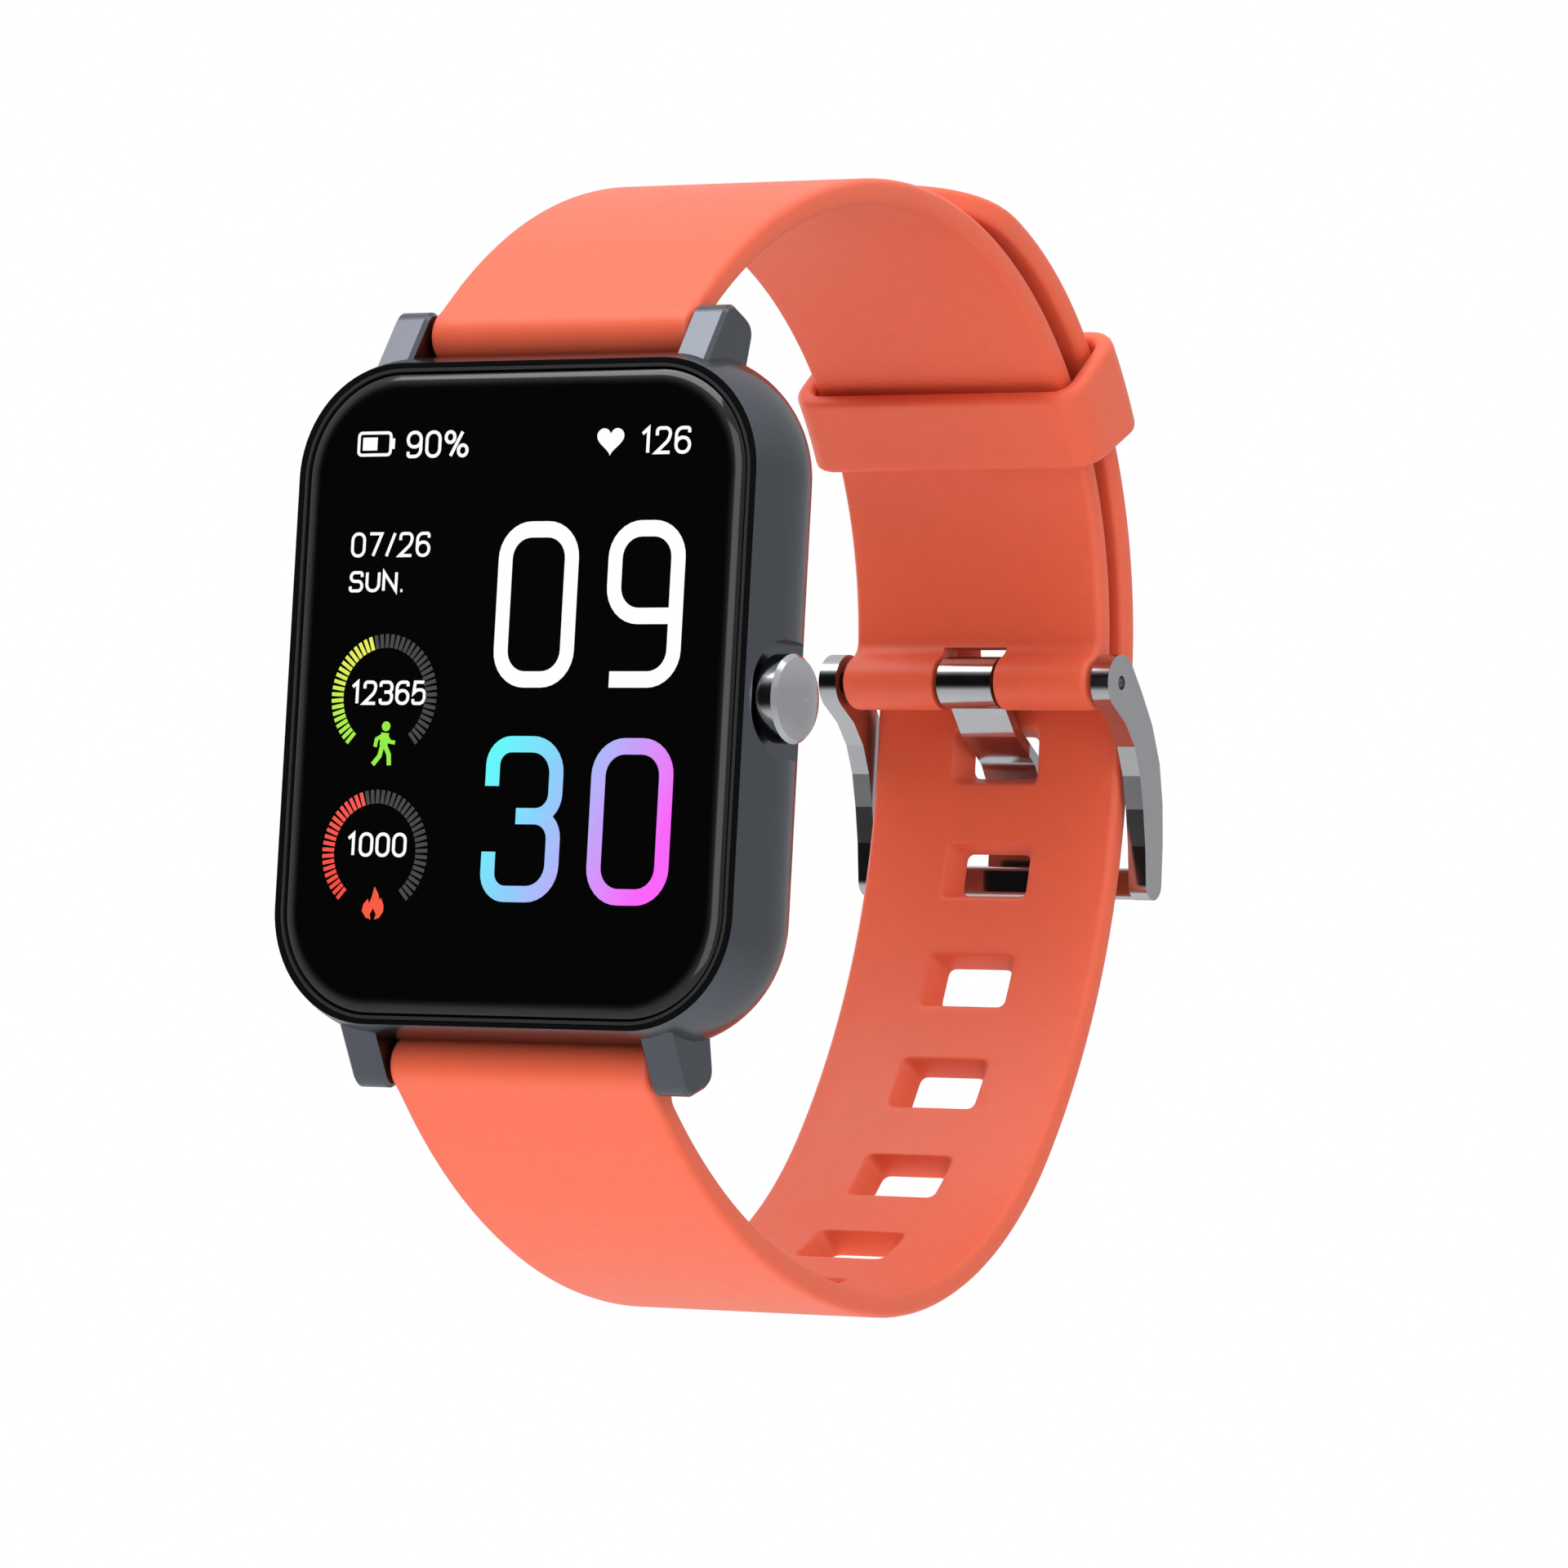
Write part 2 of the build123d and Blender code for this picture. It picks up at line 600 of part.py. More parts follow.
def charge_contacts():
    return joined([disc(x, CONTACT_Z, CONTACT_R, -2.5, ISLAND_FACE)
                   for x in (CONTACT_PITCH / 2, -CONTACT_PITCH / 2)])


def charge_magnets():
    return joined([disc(x, MAGNET_Z, MAGNET_R, COVER_INNER, -1.65) for x in (MAGNET_X, -MAGNET_X)])


# ------------------------------------------------------------------ strap

def polar(centre, radius, angle):
    a = radians(angle)
    return (centre[0] + radius * cos(a), centre[1] + radius * sin(a))


BACK_CENTRE = (LOOP_Y, BACK_ARC_Z)
UPPER_CENTRE = (LOOP_Y, BACK_ARC_Z + UPPER_BACK_R - UPPER_FRONT_R)
OUTER_BACK_R = UPPER_BACK_R + LAYER_STEP
LOWER_CENTRE = (LOWER_FRONT_Y, LOWER_FRONT_Z)
TURN_CENTRE = (LOWER_FRONT_Y, LOWER_FRONT_Z - LOWER_FRONT_R + LOWER_TURN_R)
TURN_END = LOWER_TURN_ANGLE - 90
TURN_POINT = polar(TURN_CENTRE, LOWER_TURN_R, TURN_END)
RISE_R = (LOOP_Y + OUTER_BACK_R - TURN_POINT[0]) / (1 - cos(radians(TURN_END)))
RISE_CENTRE = (LOOP_Y + OUTER_BACK_R - RISE_R, TURN_POINT[1] - RISE_R * sin(radians(TURN_END)))
TAIL_CENTRE = polar(BACK_CENTRE, OUTER_BACK_R - TAIL_R, TAIL_FROM)

# Each arc of a strap's mid-line is (centre, radius, start angle, end angle).
# A gap between two arcs is a straight run.
UPPER_PATH = ((UPPER_CENTRE, UPPER_FRONT_R, 138.1, 90.0), (BACK_CENTRE, UPPER_BACK_R, 90.0, -1.5))
LOWER_PATH = ((LOWER_CENTRE, LOWER_FRONT_R, 222.6, 270.0),
              (TURN_CENTRE, LOWER_TURN_R, 270.0, 360.0 + TURN_END),
              (RISE_CENTRE, RISE_R, TURN_END, 0.0), (BACK_CENTRE, OUTER_BACK_R, 0.0, TAIL_FROM),
              (TAIL_CENTRE, TAIL_R, TAIL_FROM, TAIL_TO))


def offset_run(path, distance):
    """Edges of the path moved away from the inside of the loop by a distance."""
    edges = []
    for centre, radius, start, end in path:
        arc = CenterArc(centre, radius + distance, start, end - start)
        if edges and (edges[-1] @ 1 - arc @ 0).length > 1e-4:
            edges.append(Line(edges[-1] @ 1, arc @ 0))
        edges.append(arc)
    return edges


def band(path):
    """Strap ribbon: the path, given its thickness and width."""
    inner = offset_run(path, -STRAP_THICK / 2)
    outer = offset_run(path, STRAP_THICK / 2)
    ends = [Line(inner[0] @ 0, outer[0] @ 0), Line(inner[-1] @ 1, outer[-1] @ 1)]
    return side_profile(make_face(inner + outer + ends), STRAP_WIDTH / 2)


def hole_cutter(point, angle):
    """Tapered square hole, wide on the wrist side; angle is the outward normal's direction."""
    a = radians(angle)
    normal, centre = Vector(0, cos(a), sin(a)), Vector(0, *point)
    reach = normal * STRAP_THICK * 0.6
    inside = Plane(origin=centre - reach, x_dir=(1, 0, 0), z_dir=normal)
    outside = Plane(origin=centre + reach, x_dir=(1, 0, 0), z_dir=normal)
    return loft([inside * RectangleRounded(*HOLE_INSIDE, HOLE_INSIDE_R),
                 outside * RectangleRounded(*HOLE_OUTSIDE, HOLE_OUTSIDE_R)])


def lower_station(distance):
    """Point and outward normal of the lower strap, a distance from the tang's hole towards the tail."""
    straight = BACK_ARC_Z - TANG_HOLE_Z
    back_length = OUTER_BACK_R * radians(TAIL_FROM)
    rise_length = TANG_HOLE_Z - RISE_CENTRE[1]
    if distance > straight + back_length:
        angle = TAIL_FROM + degrees((distance - straight - back_length) / TAIL_R)
        return polar(TAIL_CENTRE, TAIL_R, angle), angle
    if distance > straight:
        angle = degrees((distance - straight) / OUTER_BACK_R)
        return polar(BACK_CENTRE, OUTER_BACK_R, angle), angle
    if distance > -rise_length:
        return (LOOP_Y + OUTER_BACK_R, TANG_HOLE_Z + distance), 0.0
    angle = degrees((distance + rise_length) / RISE_R)
    if angle > TURN_END:
        return polar(RISE_CENTRE, RISE_R, angle), angle
    beyond = radians(TURN_END - angle) * RISE_R
    angle = TURN_END - degrees(beyond / LOWER_TURN_R)
    return polar(TURN_CENTRE, LOWER_TURN_R, angle), angle


def lug_end(end):
    """Round end of a strap; its bore for the spring bar and the notch for the quick-release lever."""
    z, half_notch = end * BAR_Z, 1.0
    tube = rod(BAR_Y, z, LUG_TUBE_R, -STRAP_WIDTH / 2, STRAP_WIDTH / 2)
    bore = rod(BAR_Y, z, BAR_R + RUNNING_GAP, -STRAP_WIDTH, STRAP_WIDTH)
    left, right = LEVER_NOTCH_X
    return tube, bore + block((left, BAR_Y, z - half_notch), (right, BAR_Y + 6, z + half_notch))


def upper_strap():
    tube, bore = lug_end(1)
    strap = band(UPPER_PATH) + tube - bore
    strap += rod(BUCKLE_Y, BUCKLE_Z, BUCKLE_TUBE_R, -STRAP_WIDTH / 2, STRAP_WIDTH / 2)
    strap -= rod(BUCKLE_Y, BUCKLE_Z, BAR_R + RUNNING_GAP, -STRAP_WIDTH, STRAP_WIDTH)
    half, reach = TANG_WIDTH / 2 + TANG_GAP, 2 * BUCKLE_TUBE_R
    return strap - block((-half, BUCKLE_Y - reach, BUCKLE_Z - reach),
                         (half, BUCKLE_Y + reach, BUCKLE_Z + BUCKLE_SLOT_TOP))


def tail_corners():
    """Waste beside the rounded end of the lower strap."""
    tip_y, tip_z = polar(TAIL_CENTRE, TAIL_R, TAIL_TO)
    corner, over, reach = TAIL_CORNER_R, 1.0, 4.0
    square = Rectangle(corner + over, corner + over)
    square = Pos(STRAP_WIDTH / 2 - (corner - over) / 2, tip_y + (corner - over) / 2) * square
    round_end = Pos(STRAP_WIDTH / 2 - corner, tip_y + corner) * Circle(corner)
    return both_sides(extrude(Pos(0, 0, tip_z - reach) * (square - round_end), amount=2 * reach))


def lower_strap():
    tube, bore = lug_end(-1)
    strap = band(LOWER_PATH) + tube - bore - tail_corners()
    for number in range(HOLE_COUNT):
        distance = (HOLES_ABOVE_TANG - number) * HOLE_PITCH
        strap -= hole_cutter(*lower_station(distance))
    return strap


def sector(inner_r, outer_r, from_angle, to_angle):
    """Piece of a ring about the centre of the strap's back arcs, drawn in (Y, Z)."""
    inner = CenterArc(BACK_CENTRE, inner_r, from_angle, to_angle - from_angle)
    outer = CenterArc(BACK_CENTRE, outer_r, from_angle, to_angle - from_angle)
    return make_face([inner, outer, Line(inner @ 0, outer @ 0), Line(inner @ 1, outer @ 1)])


def keeper():
    """Loose loop that holds the tail against the upper strap."""
    low_r = UPPER_BACK_R - STRAP_THICK / 2 - KEEPER_GAP_INNER
    high_r = OUTER_BACK_R + STRAP_THICK / 2 + KEEPER_GAP_OUTER
    half_x = STRAP_WIDTH / 2 + KEEPER_GAP_SIDE
    start, end = KEEPER_ANGLE - KEEPER_HALF_ANGLE, KEEPER_ANGLE + KEEPER_HALF_ANGLE
    loop = side_profile(sector(low_r - KEEPER_WALL, high_r + KEEPER_WALL, start, end), half_x + KEEPER_WALL)
    loop = fillet(loop.edges().filter_by(GeomType.CIRCLE), KEEPER_ROUND)
    return loop - side_profile(sector(low_r, high_r, start - 5, end + 5), half_x)


# ------------------------------------------------------------------ buckle

def buckle_frame():
    """Two cranked arms joined by a crossbar outside the strap."""
    links = []
    for (y0, z0, r0), (y1, z1, r1) in zip(ARM_STATIONS, ARM_STATIONS[1:]):
        circles = Pos(y0, z0) * Circle(r0) + Pos(y1, z1) * Circle(r1)
        link = extrude(Plane.YZ * make_hull(circles.edges()), amount=ARM_THICK)
        links.append(Pos(ARM_INNER_X, 0, 0) * link)
    arm = joined(links) - rod(BUCKLE_Y, BUCKLE_Z, TIP_R + RUNNING_GAP, 0, STRAP_WIDTH)
    section = Pos(*CROSSBAR_AT) * RectangleRounded(*CROSSBAR_SIZE, CROSSBAR_R)
    return both_sides(arm) + side_profile(section, ARM_INNER_X + 0.2)


def buckle_tang():
    """Flat tongue rolled round the bar; it passes through a hole and rests on the crossbar."""
    centre_line = Plane.YZ * FilletPolyline(*TANG_ROUTE, radius=TANG_BEND_R)
    start = Plane(origin=centre_line @ 0, x_dir=(1, 0, 0), z_dir=centre_line % 0)
    strip = sweep(start * Rectangle(TANG_WIDTH, TANG_THICK), path=centre_line)
    roll = rod(BUCKLE_Y, BUCKLE_Z, TANG_ROLL_R, -TANG_WIDTH / 2, TANG_WIDTH / 2)
    return strip + roll - rod(BUCKLE_Y, BUCKLE_Z, BAR_R + RUNNING_GAP, -TANG_WIDTH, TANG_WIDTH)


# ------------------------------------------------------------------ spring bars

def bar_tube(y, z, slotted):
    """Hollow sleeve of a spring bar; a quick-release bar has a slot for its lever."""
    tube = rod(y, z, BAR_R, -BAR_HALF_LENGTH, BAR_HALF_LENGTH)
    tube -= rod(y, z, BAR_BORE_R, -STRAP_WIDTH, STRAP_WIDTH)
    if slotted:
        (left, right), half_slot = LEVER_SLOT_X, 0.4
        tube -= block((left, y, z - half_slot), (right, y + BEYOND, z + half_slot))
    return tube


def bar_tip(y, z, side):
    """Sliding end pin of a spring bar."""
    pin = rod(y, z, TIP_R, TIP_ROOT_X, TIP_REACH)
    return pin if side > 0 else mirror(pin, about=Plane.YZ)


def bar_lever(z):
    """Quick-release pin with a round head, fixed to the left tip."""
    stalk = Plane(origin=(LEVER_X, BAR_Y + TIP_R - 0.05, z), z_dir=(0, 1, 0)) * Circle(LEVER_STALK_R)
    head = Plane(origin=(LEVER_X, BAR_Y + LEVER_HEAD_Y, z), z_dir=(0, 1, 0)) * Circle(LEVER_HEAD_R)
    return extrude(stalk, amount=LEVER_STALK) + extrude(head, amount=LEVER_HEAD)


def bar_spring(y, z):
    return coil(-BAR_COIL_HALF_LENGTH, BAR_COIL_HALF_LENGTH, y, z, BAR_COIL_R, BAR_WIRE_R, BAR_COIL_TURNS)


PARTS = (
    case_body, cover_glass, glass_gasket, touch_sensor, display_panel, backlight, display_flex, inner_frame,
    main_board, main_processor, gps_receiver, board_chips, board_connectors, board_shield, board_screws,
    gps_antenna, battery, battery_tab, motor_can, motor_rotor, crown_head, crown_seal, crown_clip, crown_washer,
    crown_spring, crown_switch, switch_plunger, switch_board, back_cover, back_gasket, back_screws,
    sensor_window, sensor_board, sensor_leds, photodiode, sensor_flex, charge_contacts, charge_magnets,
    upper_strap, lower_strap, keeper, buckle_frame, buckle_tang,
)

# Spring bars: (y, z, whether it has a quick-release lever).
BARS = {
    "upper_bar": (BAR_Y, BAR_Z, True),
    "lower_bar": (BAR_Y, -BAR_Z, True),
    "buckle_bar": (BUCKLE_Y, BUCKLE_Z, False),
}

os.makedirs("parts", exist_ok=True)
for make in PARTS:
    export_step(make(), f"parts/{make.__name__}.step")
for name, (bar_y, bar_z, quick_release) in BARS.items():
    export_step(bar_tube(bar_y, bar_z, quick_release), f"parts/{name}_tube.step")
    export_step(bar_tip(bar_y, bar_z, -1), f"parts/{name}_tip_left.step")
    export_step(bar_tip(bar_y, bar_z, 1), f"parts/{name}_tip_right.step")
    export_step(bar_spring(bar_y, bar_z), f"parts/{name}_spring.step")
    if quick_release:
        export_step(bar_lever(bar_z), f"parts/{name}_lever.step")
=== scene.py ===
# Studio picture of a square sport watch on a closed silicone strap.
# Sizes are in millimetres in the row frame and become metres where a mesh is made.
import json
from math import atan2, ceil, cos, hypot, pi, radians, sin, sqrt

import bmesh
import bpy
from mathutils import Matrix, Vector


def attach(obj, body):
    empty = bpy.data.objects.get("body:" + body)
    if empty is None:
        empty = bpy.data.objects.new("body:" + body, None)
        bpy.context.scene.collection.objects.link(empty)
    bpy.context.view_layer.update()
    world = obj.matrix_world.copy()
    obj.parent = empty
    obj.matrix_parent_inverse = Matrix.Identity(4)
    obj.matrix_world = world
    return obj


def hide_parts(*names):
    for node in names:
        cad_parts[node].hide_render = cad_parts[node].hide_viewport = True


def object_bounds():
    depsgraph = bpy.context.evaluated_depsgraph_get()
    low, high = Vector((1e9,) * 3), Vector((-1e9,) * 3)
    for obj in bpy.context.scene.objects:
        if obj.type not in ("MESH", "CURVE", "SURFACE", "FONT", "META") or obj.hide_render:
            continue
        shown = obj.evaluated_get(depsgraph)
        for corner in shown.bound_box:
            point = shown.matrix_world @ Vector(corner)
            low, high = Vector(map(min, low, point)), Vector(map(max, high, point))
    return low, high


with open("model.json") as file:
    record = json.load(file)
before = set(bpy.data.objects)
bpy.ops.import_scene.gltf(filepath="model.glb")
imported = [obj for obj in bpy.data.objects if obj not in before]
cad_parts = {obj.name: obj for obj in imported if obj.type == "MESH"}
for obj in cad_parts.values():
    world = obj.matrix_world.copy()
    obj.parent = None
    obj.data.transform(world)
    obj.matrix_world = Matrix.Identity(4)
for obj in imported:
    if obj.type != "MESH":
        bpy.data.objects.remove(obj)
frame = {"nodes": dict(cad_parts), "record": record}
cad_low, cad_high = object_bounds()

MM = 0.001
SMOOTH_ANGLE = 35.0  # degrees between two faces; a sharper edge stays sharp
WELD_DISTANCE, SLIVER_LENGTH = 2e-6, 1e-7  # metres

# ---- strap: its section, then the arcs of its mid-line in (y, z), its holes and its round ends ----
STRAP_HALF_WIDTH = 10.0
STRAP_HALF_THICK = 0.9
STRAP_EDGE_R = 0.55
FACE_STEPS = 16
ROW_PITCH, PITCH_SLACK = 1.0, 1e-6
EDGE_STEPS = 4
LOOP_Y, BACK_ARC_Z = 21.3, 7.6
BAR_Y, BAR_Z = -5.6, 24.0
BUCKLE_Y, BUCKLE_Z = 49.8, 6.8
BORE_R, BORE_HALF_LENGTH = 0.8, 11.0
BACK_CENTRE = (LOOP_Y, BACK_ARC_Z)
UPPER_START, UPPER_END = 138.1, -1.5
UPPER_BACK_R = 29.3
UPPER_FRONT_R = 37.0
LOWER_START = 222.6
LOWER_BACK_R = 32.8
LOWER_CENTRE, LOWER_FRONT_R = (24.0, 3.2), 41.1
TURN_R, TURN_END = 26.1, -35.0
TAIL_R, TAIL_FROM, TAIL_TO = 26.0, 43.0, 87.0
TAIL_CORNER_R, TAIL_CORNER_STEPS = 7.0, 12
JOIN_GAP = 1e-3  # arcs whose ends are nearer than this need no straight run between them
HOLE_COUNT, HOLE_PITCH, HOLES_ABOVE_TANG = 11, 8.4, 4
TANG_HOLE_Z = 1.9
HOLE_WRIST_SIDE = (7.01, 4.08)
HOLE_OUTER_SIDE = (5.09, 2.92)
HOLE_CORNER_R = 0.5
HOLE_LIP_R = 0.16
HOLE_FACE_SHARES = (0.0, 0.35, 0.65, 0.85)  # rows between the cell's border and the hole's lip
# An eye is (height of the bar's middle over the mid-line, outer radius).
LUG_EYE = (-0.885, 1.9)
BUCKLE_EYE = (-0.8, 2.0)
EYE_REACH = 3.6  # length of strap that an eye takes up
EYE_OUTER_BLEND_R, EYE_INNER_BLEND_R = 6.0, 1.4
EYE_STEPS, EYE_BLEND_STEPS = 28, 6
SLOT_HALF_WIDTH, SLOT_REACH = 2.55, 4.0
SLOT_TOP_Z = 9.3
LEVER_NOTCH_X = (-9.0, -5.6)
LEVER_NOTCH_DEPTH, LEVER_NOTCH_HALF_Z = 6.0, 1.0

# ---- keeper ----
KEEPER_ANGLE, KEEPER_HALF_ANGLE = 36.5, 6.2
KEEPER_WALL = 1.3
KEEPER_INNER_R, KEEPER_OUTER_R = 28.1, 34.15
KEEPER_HALF_WIDTH = 10.35
KEEPER_CORNER_R, KEEPER_CORNER_STEPS = 1.6, 6
KEEPER_EDGE_R = 0.6
KEEPER_PITCH_ROUND, KEEPER_PITCH_ACROSS = 1.2, 1.0
KEEPER_SMOOTH_ANGLE = 40.0

# ---- display ----
GLASS_Y, GLASS_BACK_Y = -10.8, -9.7
GLASS_HALF_X, GLASS_HALF_Z, GLASS_CORNER_R = 16.9, 21.1, 7.0
GLASS_EDGE_WIDTH, GLASS_EDGE_DROP = 1.9, 0.75
GLASS_CORNER_STEPS, GLASS_EDGE_STEPS = 24, 14
INK_THICK = 0.03

# ---- bevels put on the CAD metal: width of each node's ----
BEVELS = {"case_body": 0.24, "buckle_frame": 0.2, "buckle_tang": 0.12}
BEVEL_SEGMENTS, BEVEL_ANGLE = 3, 40.0


# ------------------------------------------------------------------ materials

EVEN, ALONG_X = (1.0, 1.0, 1.0), (0.05, 1.0, 1.0)  # how the grain is stretched
NOISE_DETAIL, NOISE_SPAN = 4.0, (0.3, 0.7)
GLOSS_GRAIN, RELIEF_GRAIN = 0.7, 0.25  # shares of the colour's grain
LEAST_ROUGHNESS = 0.02


def shader(name, colour, roughness, metallic=0.0, **more):
    """New material with its principled shader's own sockets set."""
    made = bpy.data.materials.new(name)
    made.use_nodes = True
    surface = made.node_tree.nodes["Principled BSDF"]
    surface.inputs["Base Color"].default_value = (*colour, 1.0)
    surface.inputs["Roughness"].default_value = roughness
    surface.inputs["Metallic"].default_value = metallic
    for socket, value in more.items():
        surface.inputs[socket.replace("_", " ")].default_value = value
    return made


def noise(tree, size, stretch):
    """Object-space noise whose grain is about size millimetres."""
    place = tree.nodes.new("ShaderNodeTexCoord")
    scale = tree.nodes.new("ShaderNodeMapping")
    scale.inputs["Scale"].default_value = stretch
    grain = tree.nodes.new("ShaderNodeTexNoise")
    grain.inputs["Scale"].default_value = 1.0 / (size * MM)
    grain.inputs["Detail"].default_value = NOISE_DETAIL
    tree.links.new(place.outputs["Object"], scale.inputs["Vector"])
    tree.links.new(scale.outputs["Vector"], grain.inputs["Vector"])
    return grain.outputs["Fac"]


def add_span(tree, begin, end, low=0.0, high=1.0, smooth=False):
    """Node that takes the values from begin to end onto those from low to high."""
    span = tree.nodes.new("ShaderNodeMapRange")
    if smooth:
        span.interpolation_type = "SMOOTHSTEP"
    for socket, value in (("From Min", begin), ("From Max", end), ("To Min", low), ("To Max", high)):
        span.inputs[socket].default_value = value
    return span


def add_ramp(tree, stops):
    """Colour ramp through (position, colour) stops."""
    ramp = tree.nodes.new("ShaderNodeValToRGB")
    elements = ramp.color_ramp.elements
    while len(elements) < len(stops):
        elements.new(0.5)
    for element, (position, colour) in zip(elements, stops):
        element.position, element.color = position, (*colour, 1.0)
    return ramp


def add_maths(tree, operation, kind="Math"):
    made = tree.nodes.new("ShaderNode" + kind)
    made.operation = operation
    return made


def connect(tree, *pairs):
    for start, end in pairs:
        tree.links.new(start, end)


def vary_colour(made, size, dark, light, stretch=EVEN, socket="Base Color"):
    """Two close colours, mottled at the given grain."""
    tree = made.node_tree
    ramp = add_ramp(tree, list(zip(NOISE_SPAN, (dark, light))))
    connect(tree, (noise(tree, size, stretch), ramp.inputs["Fac"]),
            (ramp.outputs["Color"], tree.nodes["Principled BSDF"].inputs[socket]))


def vary_roughness(made, size, low, high, stretch):
    tree = made.node_tree
    span = add_span(tree, *NOISE_SPAN, low, high)
    connect(tree, (noise(tree, size, stretch), span.inputs["Value"]),
            (span.outputs["Result"], tree.nodes["Principled BSDF"].inputs["Roughness"]))


def bump(made, size, height, stretch):
    """Fine surface relief, height in millimetres."""
    tree = made.node_tree
    relief = tree.nodes.new("ShaderNodeBump")
    relief.inputs["Strength"].default_value = 1.0
    relief.inputs["Distance"].default_value = height * MM
    connect(tree, (noise(tree, size, stretch), relief.inputs["Height"]),
            (relief.outputs["Normal"], tree.nodes["Principled BSDF"].inputs["Normal"]))


def mottled(name, colour, roughness, size, metallic=0.0, spread=0.12, uneven=0.05, relief=0.0, stretch=EVEN, **more):
    """Material whose colour varies by a share, spread, and whose roughness varies by uneven, in grains of
    about size millimetres; relief is the height of its finer bumps."""
    made = shader(name, colour, roughness, metallic, **more)
    dark = [c * (1 - spread) for c in colour]
    light = [min(1.0, c * (1 + spread)) for c in colour]
    vary_colour(made, size, dark, light, stretch)
    vary_roughness(made, size * GLOSS_GRAIN, max(LEAST_ROUGHNESS, roughness - uneven), roughness + uneven, stretch)
    if relief:
        bump(made, size * RELIEF_GRAIN, relief, stretch)
    return made


# One finish for each material slot of the record.
FINISHES = {
    "case_metal": dict(colour=(0.112, 0.12, 0.138), roughness=0.24, metallic=1.0, size=0.12, spread=0.05, uneven=0.015,
                       relief=0.00015),
    "cover_glass": dict(colour=(0.0012, 0.0012, 0.0014), roughness=0.1, size=6.0, uneven=0.02),
    "black_seal": dict(colour=(0.006, 0.006, 0.007), roughness=0.7, size=0.3, relief=0.004),
    "display": dict(colour=(0.004, 0.004, 0.005), roughness=0.2, size=2.0),
    "backlight_film": dict(colour=(0.75, 0.76, 0.78), roughness=0.45, size=1.0, relief=0.002),
    "flex_film": dict(colour=(0.42, 0.19, 0.04), roughness=0.4, size=0.5, spread=0.25),
    "frame_plastic": dict(colour=(0.03, 0.03, 0.034), roughness=0.55, size=0.25, relief=0.006),
    "board": dict(colour=(0.008, 0.11, 0.045), roughness=0.35, size=0.5, spread=0.35, relief=0.004),
    "chip_resin": dict(colour=(0.02, 0.02, 0.022), roughness=0.6, size=0.15, relief=0.004),
    "shield_steel": dict(colour=(0.62, 0.62, 0.63), roughness=0.32, metallic=1.0, size=0.4, stretch=ALONG_X),
    "screw_steel": dict(colour=(0.5, 0.5, 0.52), roughness=0.28, metallic=1.0, size=0.2, relief=0.001),
    "copper_film": dict(colour=(0.72, 0.36, 0.17), roughness=0.3, metallic=1.0, size=0.4),
    "battery_foil": dict(colour=(0.68, 0.69, 0.7), roughness=0.38, metallic=1.0, size=1.5, relief=0.01),
    "motor_steel": dict(colour=(0.55, 0.55, 0.57), roughness=0.3, metallic=1.0, size=0.3),
    "polished_chrome": dict(colour=(0.48, 0.49, 0.51), roughness=0.15, metallic=1.0, size=2.0, spread=0.03,
                            uneven=0.02),
    "spring_steel": dict(colour=(0.5, 0.5, 0.52), roughness=0.25, metallic=1.0, size=0.15),
    "back_plastic": dict(colour=(0.012, 0.013, 0.016), roughness=0.25, size=0.5, relief=0.001),
    "sensor_glass": dict(colour=(0.004, 0.004, 0.006), roughness=0.05, size=3.0, Coat_Weight=0.5),
    "contact_gold": dict(colour=(0.83, 0.6, 0.25), roughness=0.25, metallic=1.0, size=0.2),
    "magnet_nickel": dict(colour=(0.6, 0.58, 0.54), roughness=0.25, metallic=1.0, size=0.3),
    "green_led": dict(colour=(0.35, 0.75, 0.35), roughness=0.2, size=0.3, spread=0.2),
    "silicone": dict(colour=(0.78, 0.115, 0.048), roughness=0.48, size=1.1, spread=0.02, uneven=0.03, relief=0.002,
                     Subsurface_Weight=0.1, Subsurface_Scale=0.001, Sheen_Weight=0.08, Sheen_Roughness=0.5),
}
materials = {slot: mottled(slot, **finish) for slot, finish in FINISHES.items()}

for part in frame["record"]["subparts"]:
    node = frame["nodes"][part["node"]]
    node.data.materials.clear()
    node.data.materials.append(materials[part["material_slot"]])


# ------------------------------------------------------------------ mesh helpers

def metres(point):
    return Vector(point) * MM


def grid(mesh, rows):
    """Quads between neighbouring rows of points."""
    made = [[mesh.verts.new(metres(p)) for p in row] for row in rows]
    for a, b in zip(made, made[1:]):
        for i in range(len(a) - 1):
            mesh.faces.new((a[i], a[i + 1], b[i + 1], b[i]))


def polygon(mesh, points):
    mesh.faces.new([mesh.verts.new(metres(p)) for p in points])


def piece(name, mesh, finish, body, smooth_angle=SMOOTH_ANGLE):
    """Welds the patches, drops faces without area and makes one object that rides on a body."""
    bmesh.ops.remove_doubles(mesh, verts=mesh.verts, dist=WELD_DISTANCE)
    bmesh.ops.dissolve_degenerate(mesh, edges=mesh.edges, dist=SLIVER_LENGTH)
    bmesh.ops.recalc_face_normals(mesh, faces=mesh.faces)
    data = bpy.data.meshes.new(name)
    mesh.to_mesh(data)
    mesh.free()
    data.materials.append(finish)
    data.shade_smooth()
    data.set_sharp_from_angle(angle=radians(smooth_angle))
    made = bpy.data.objects.new(name, data)
    bpy.context.scene.collection.objects.link(made)
    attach(made, body)
    return made


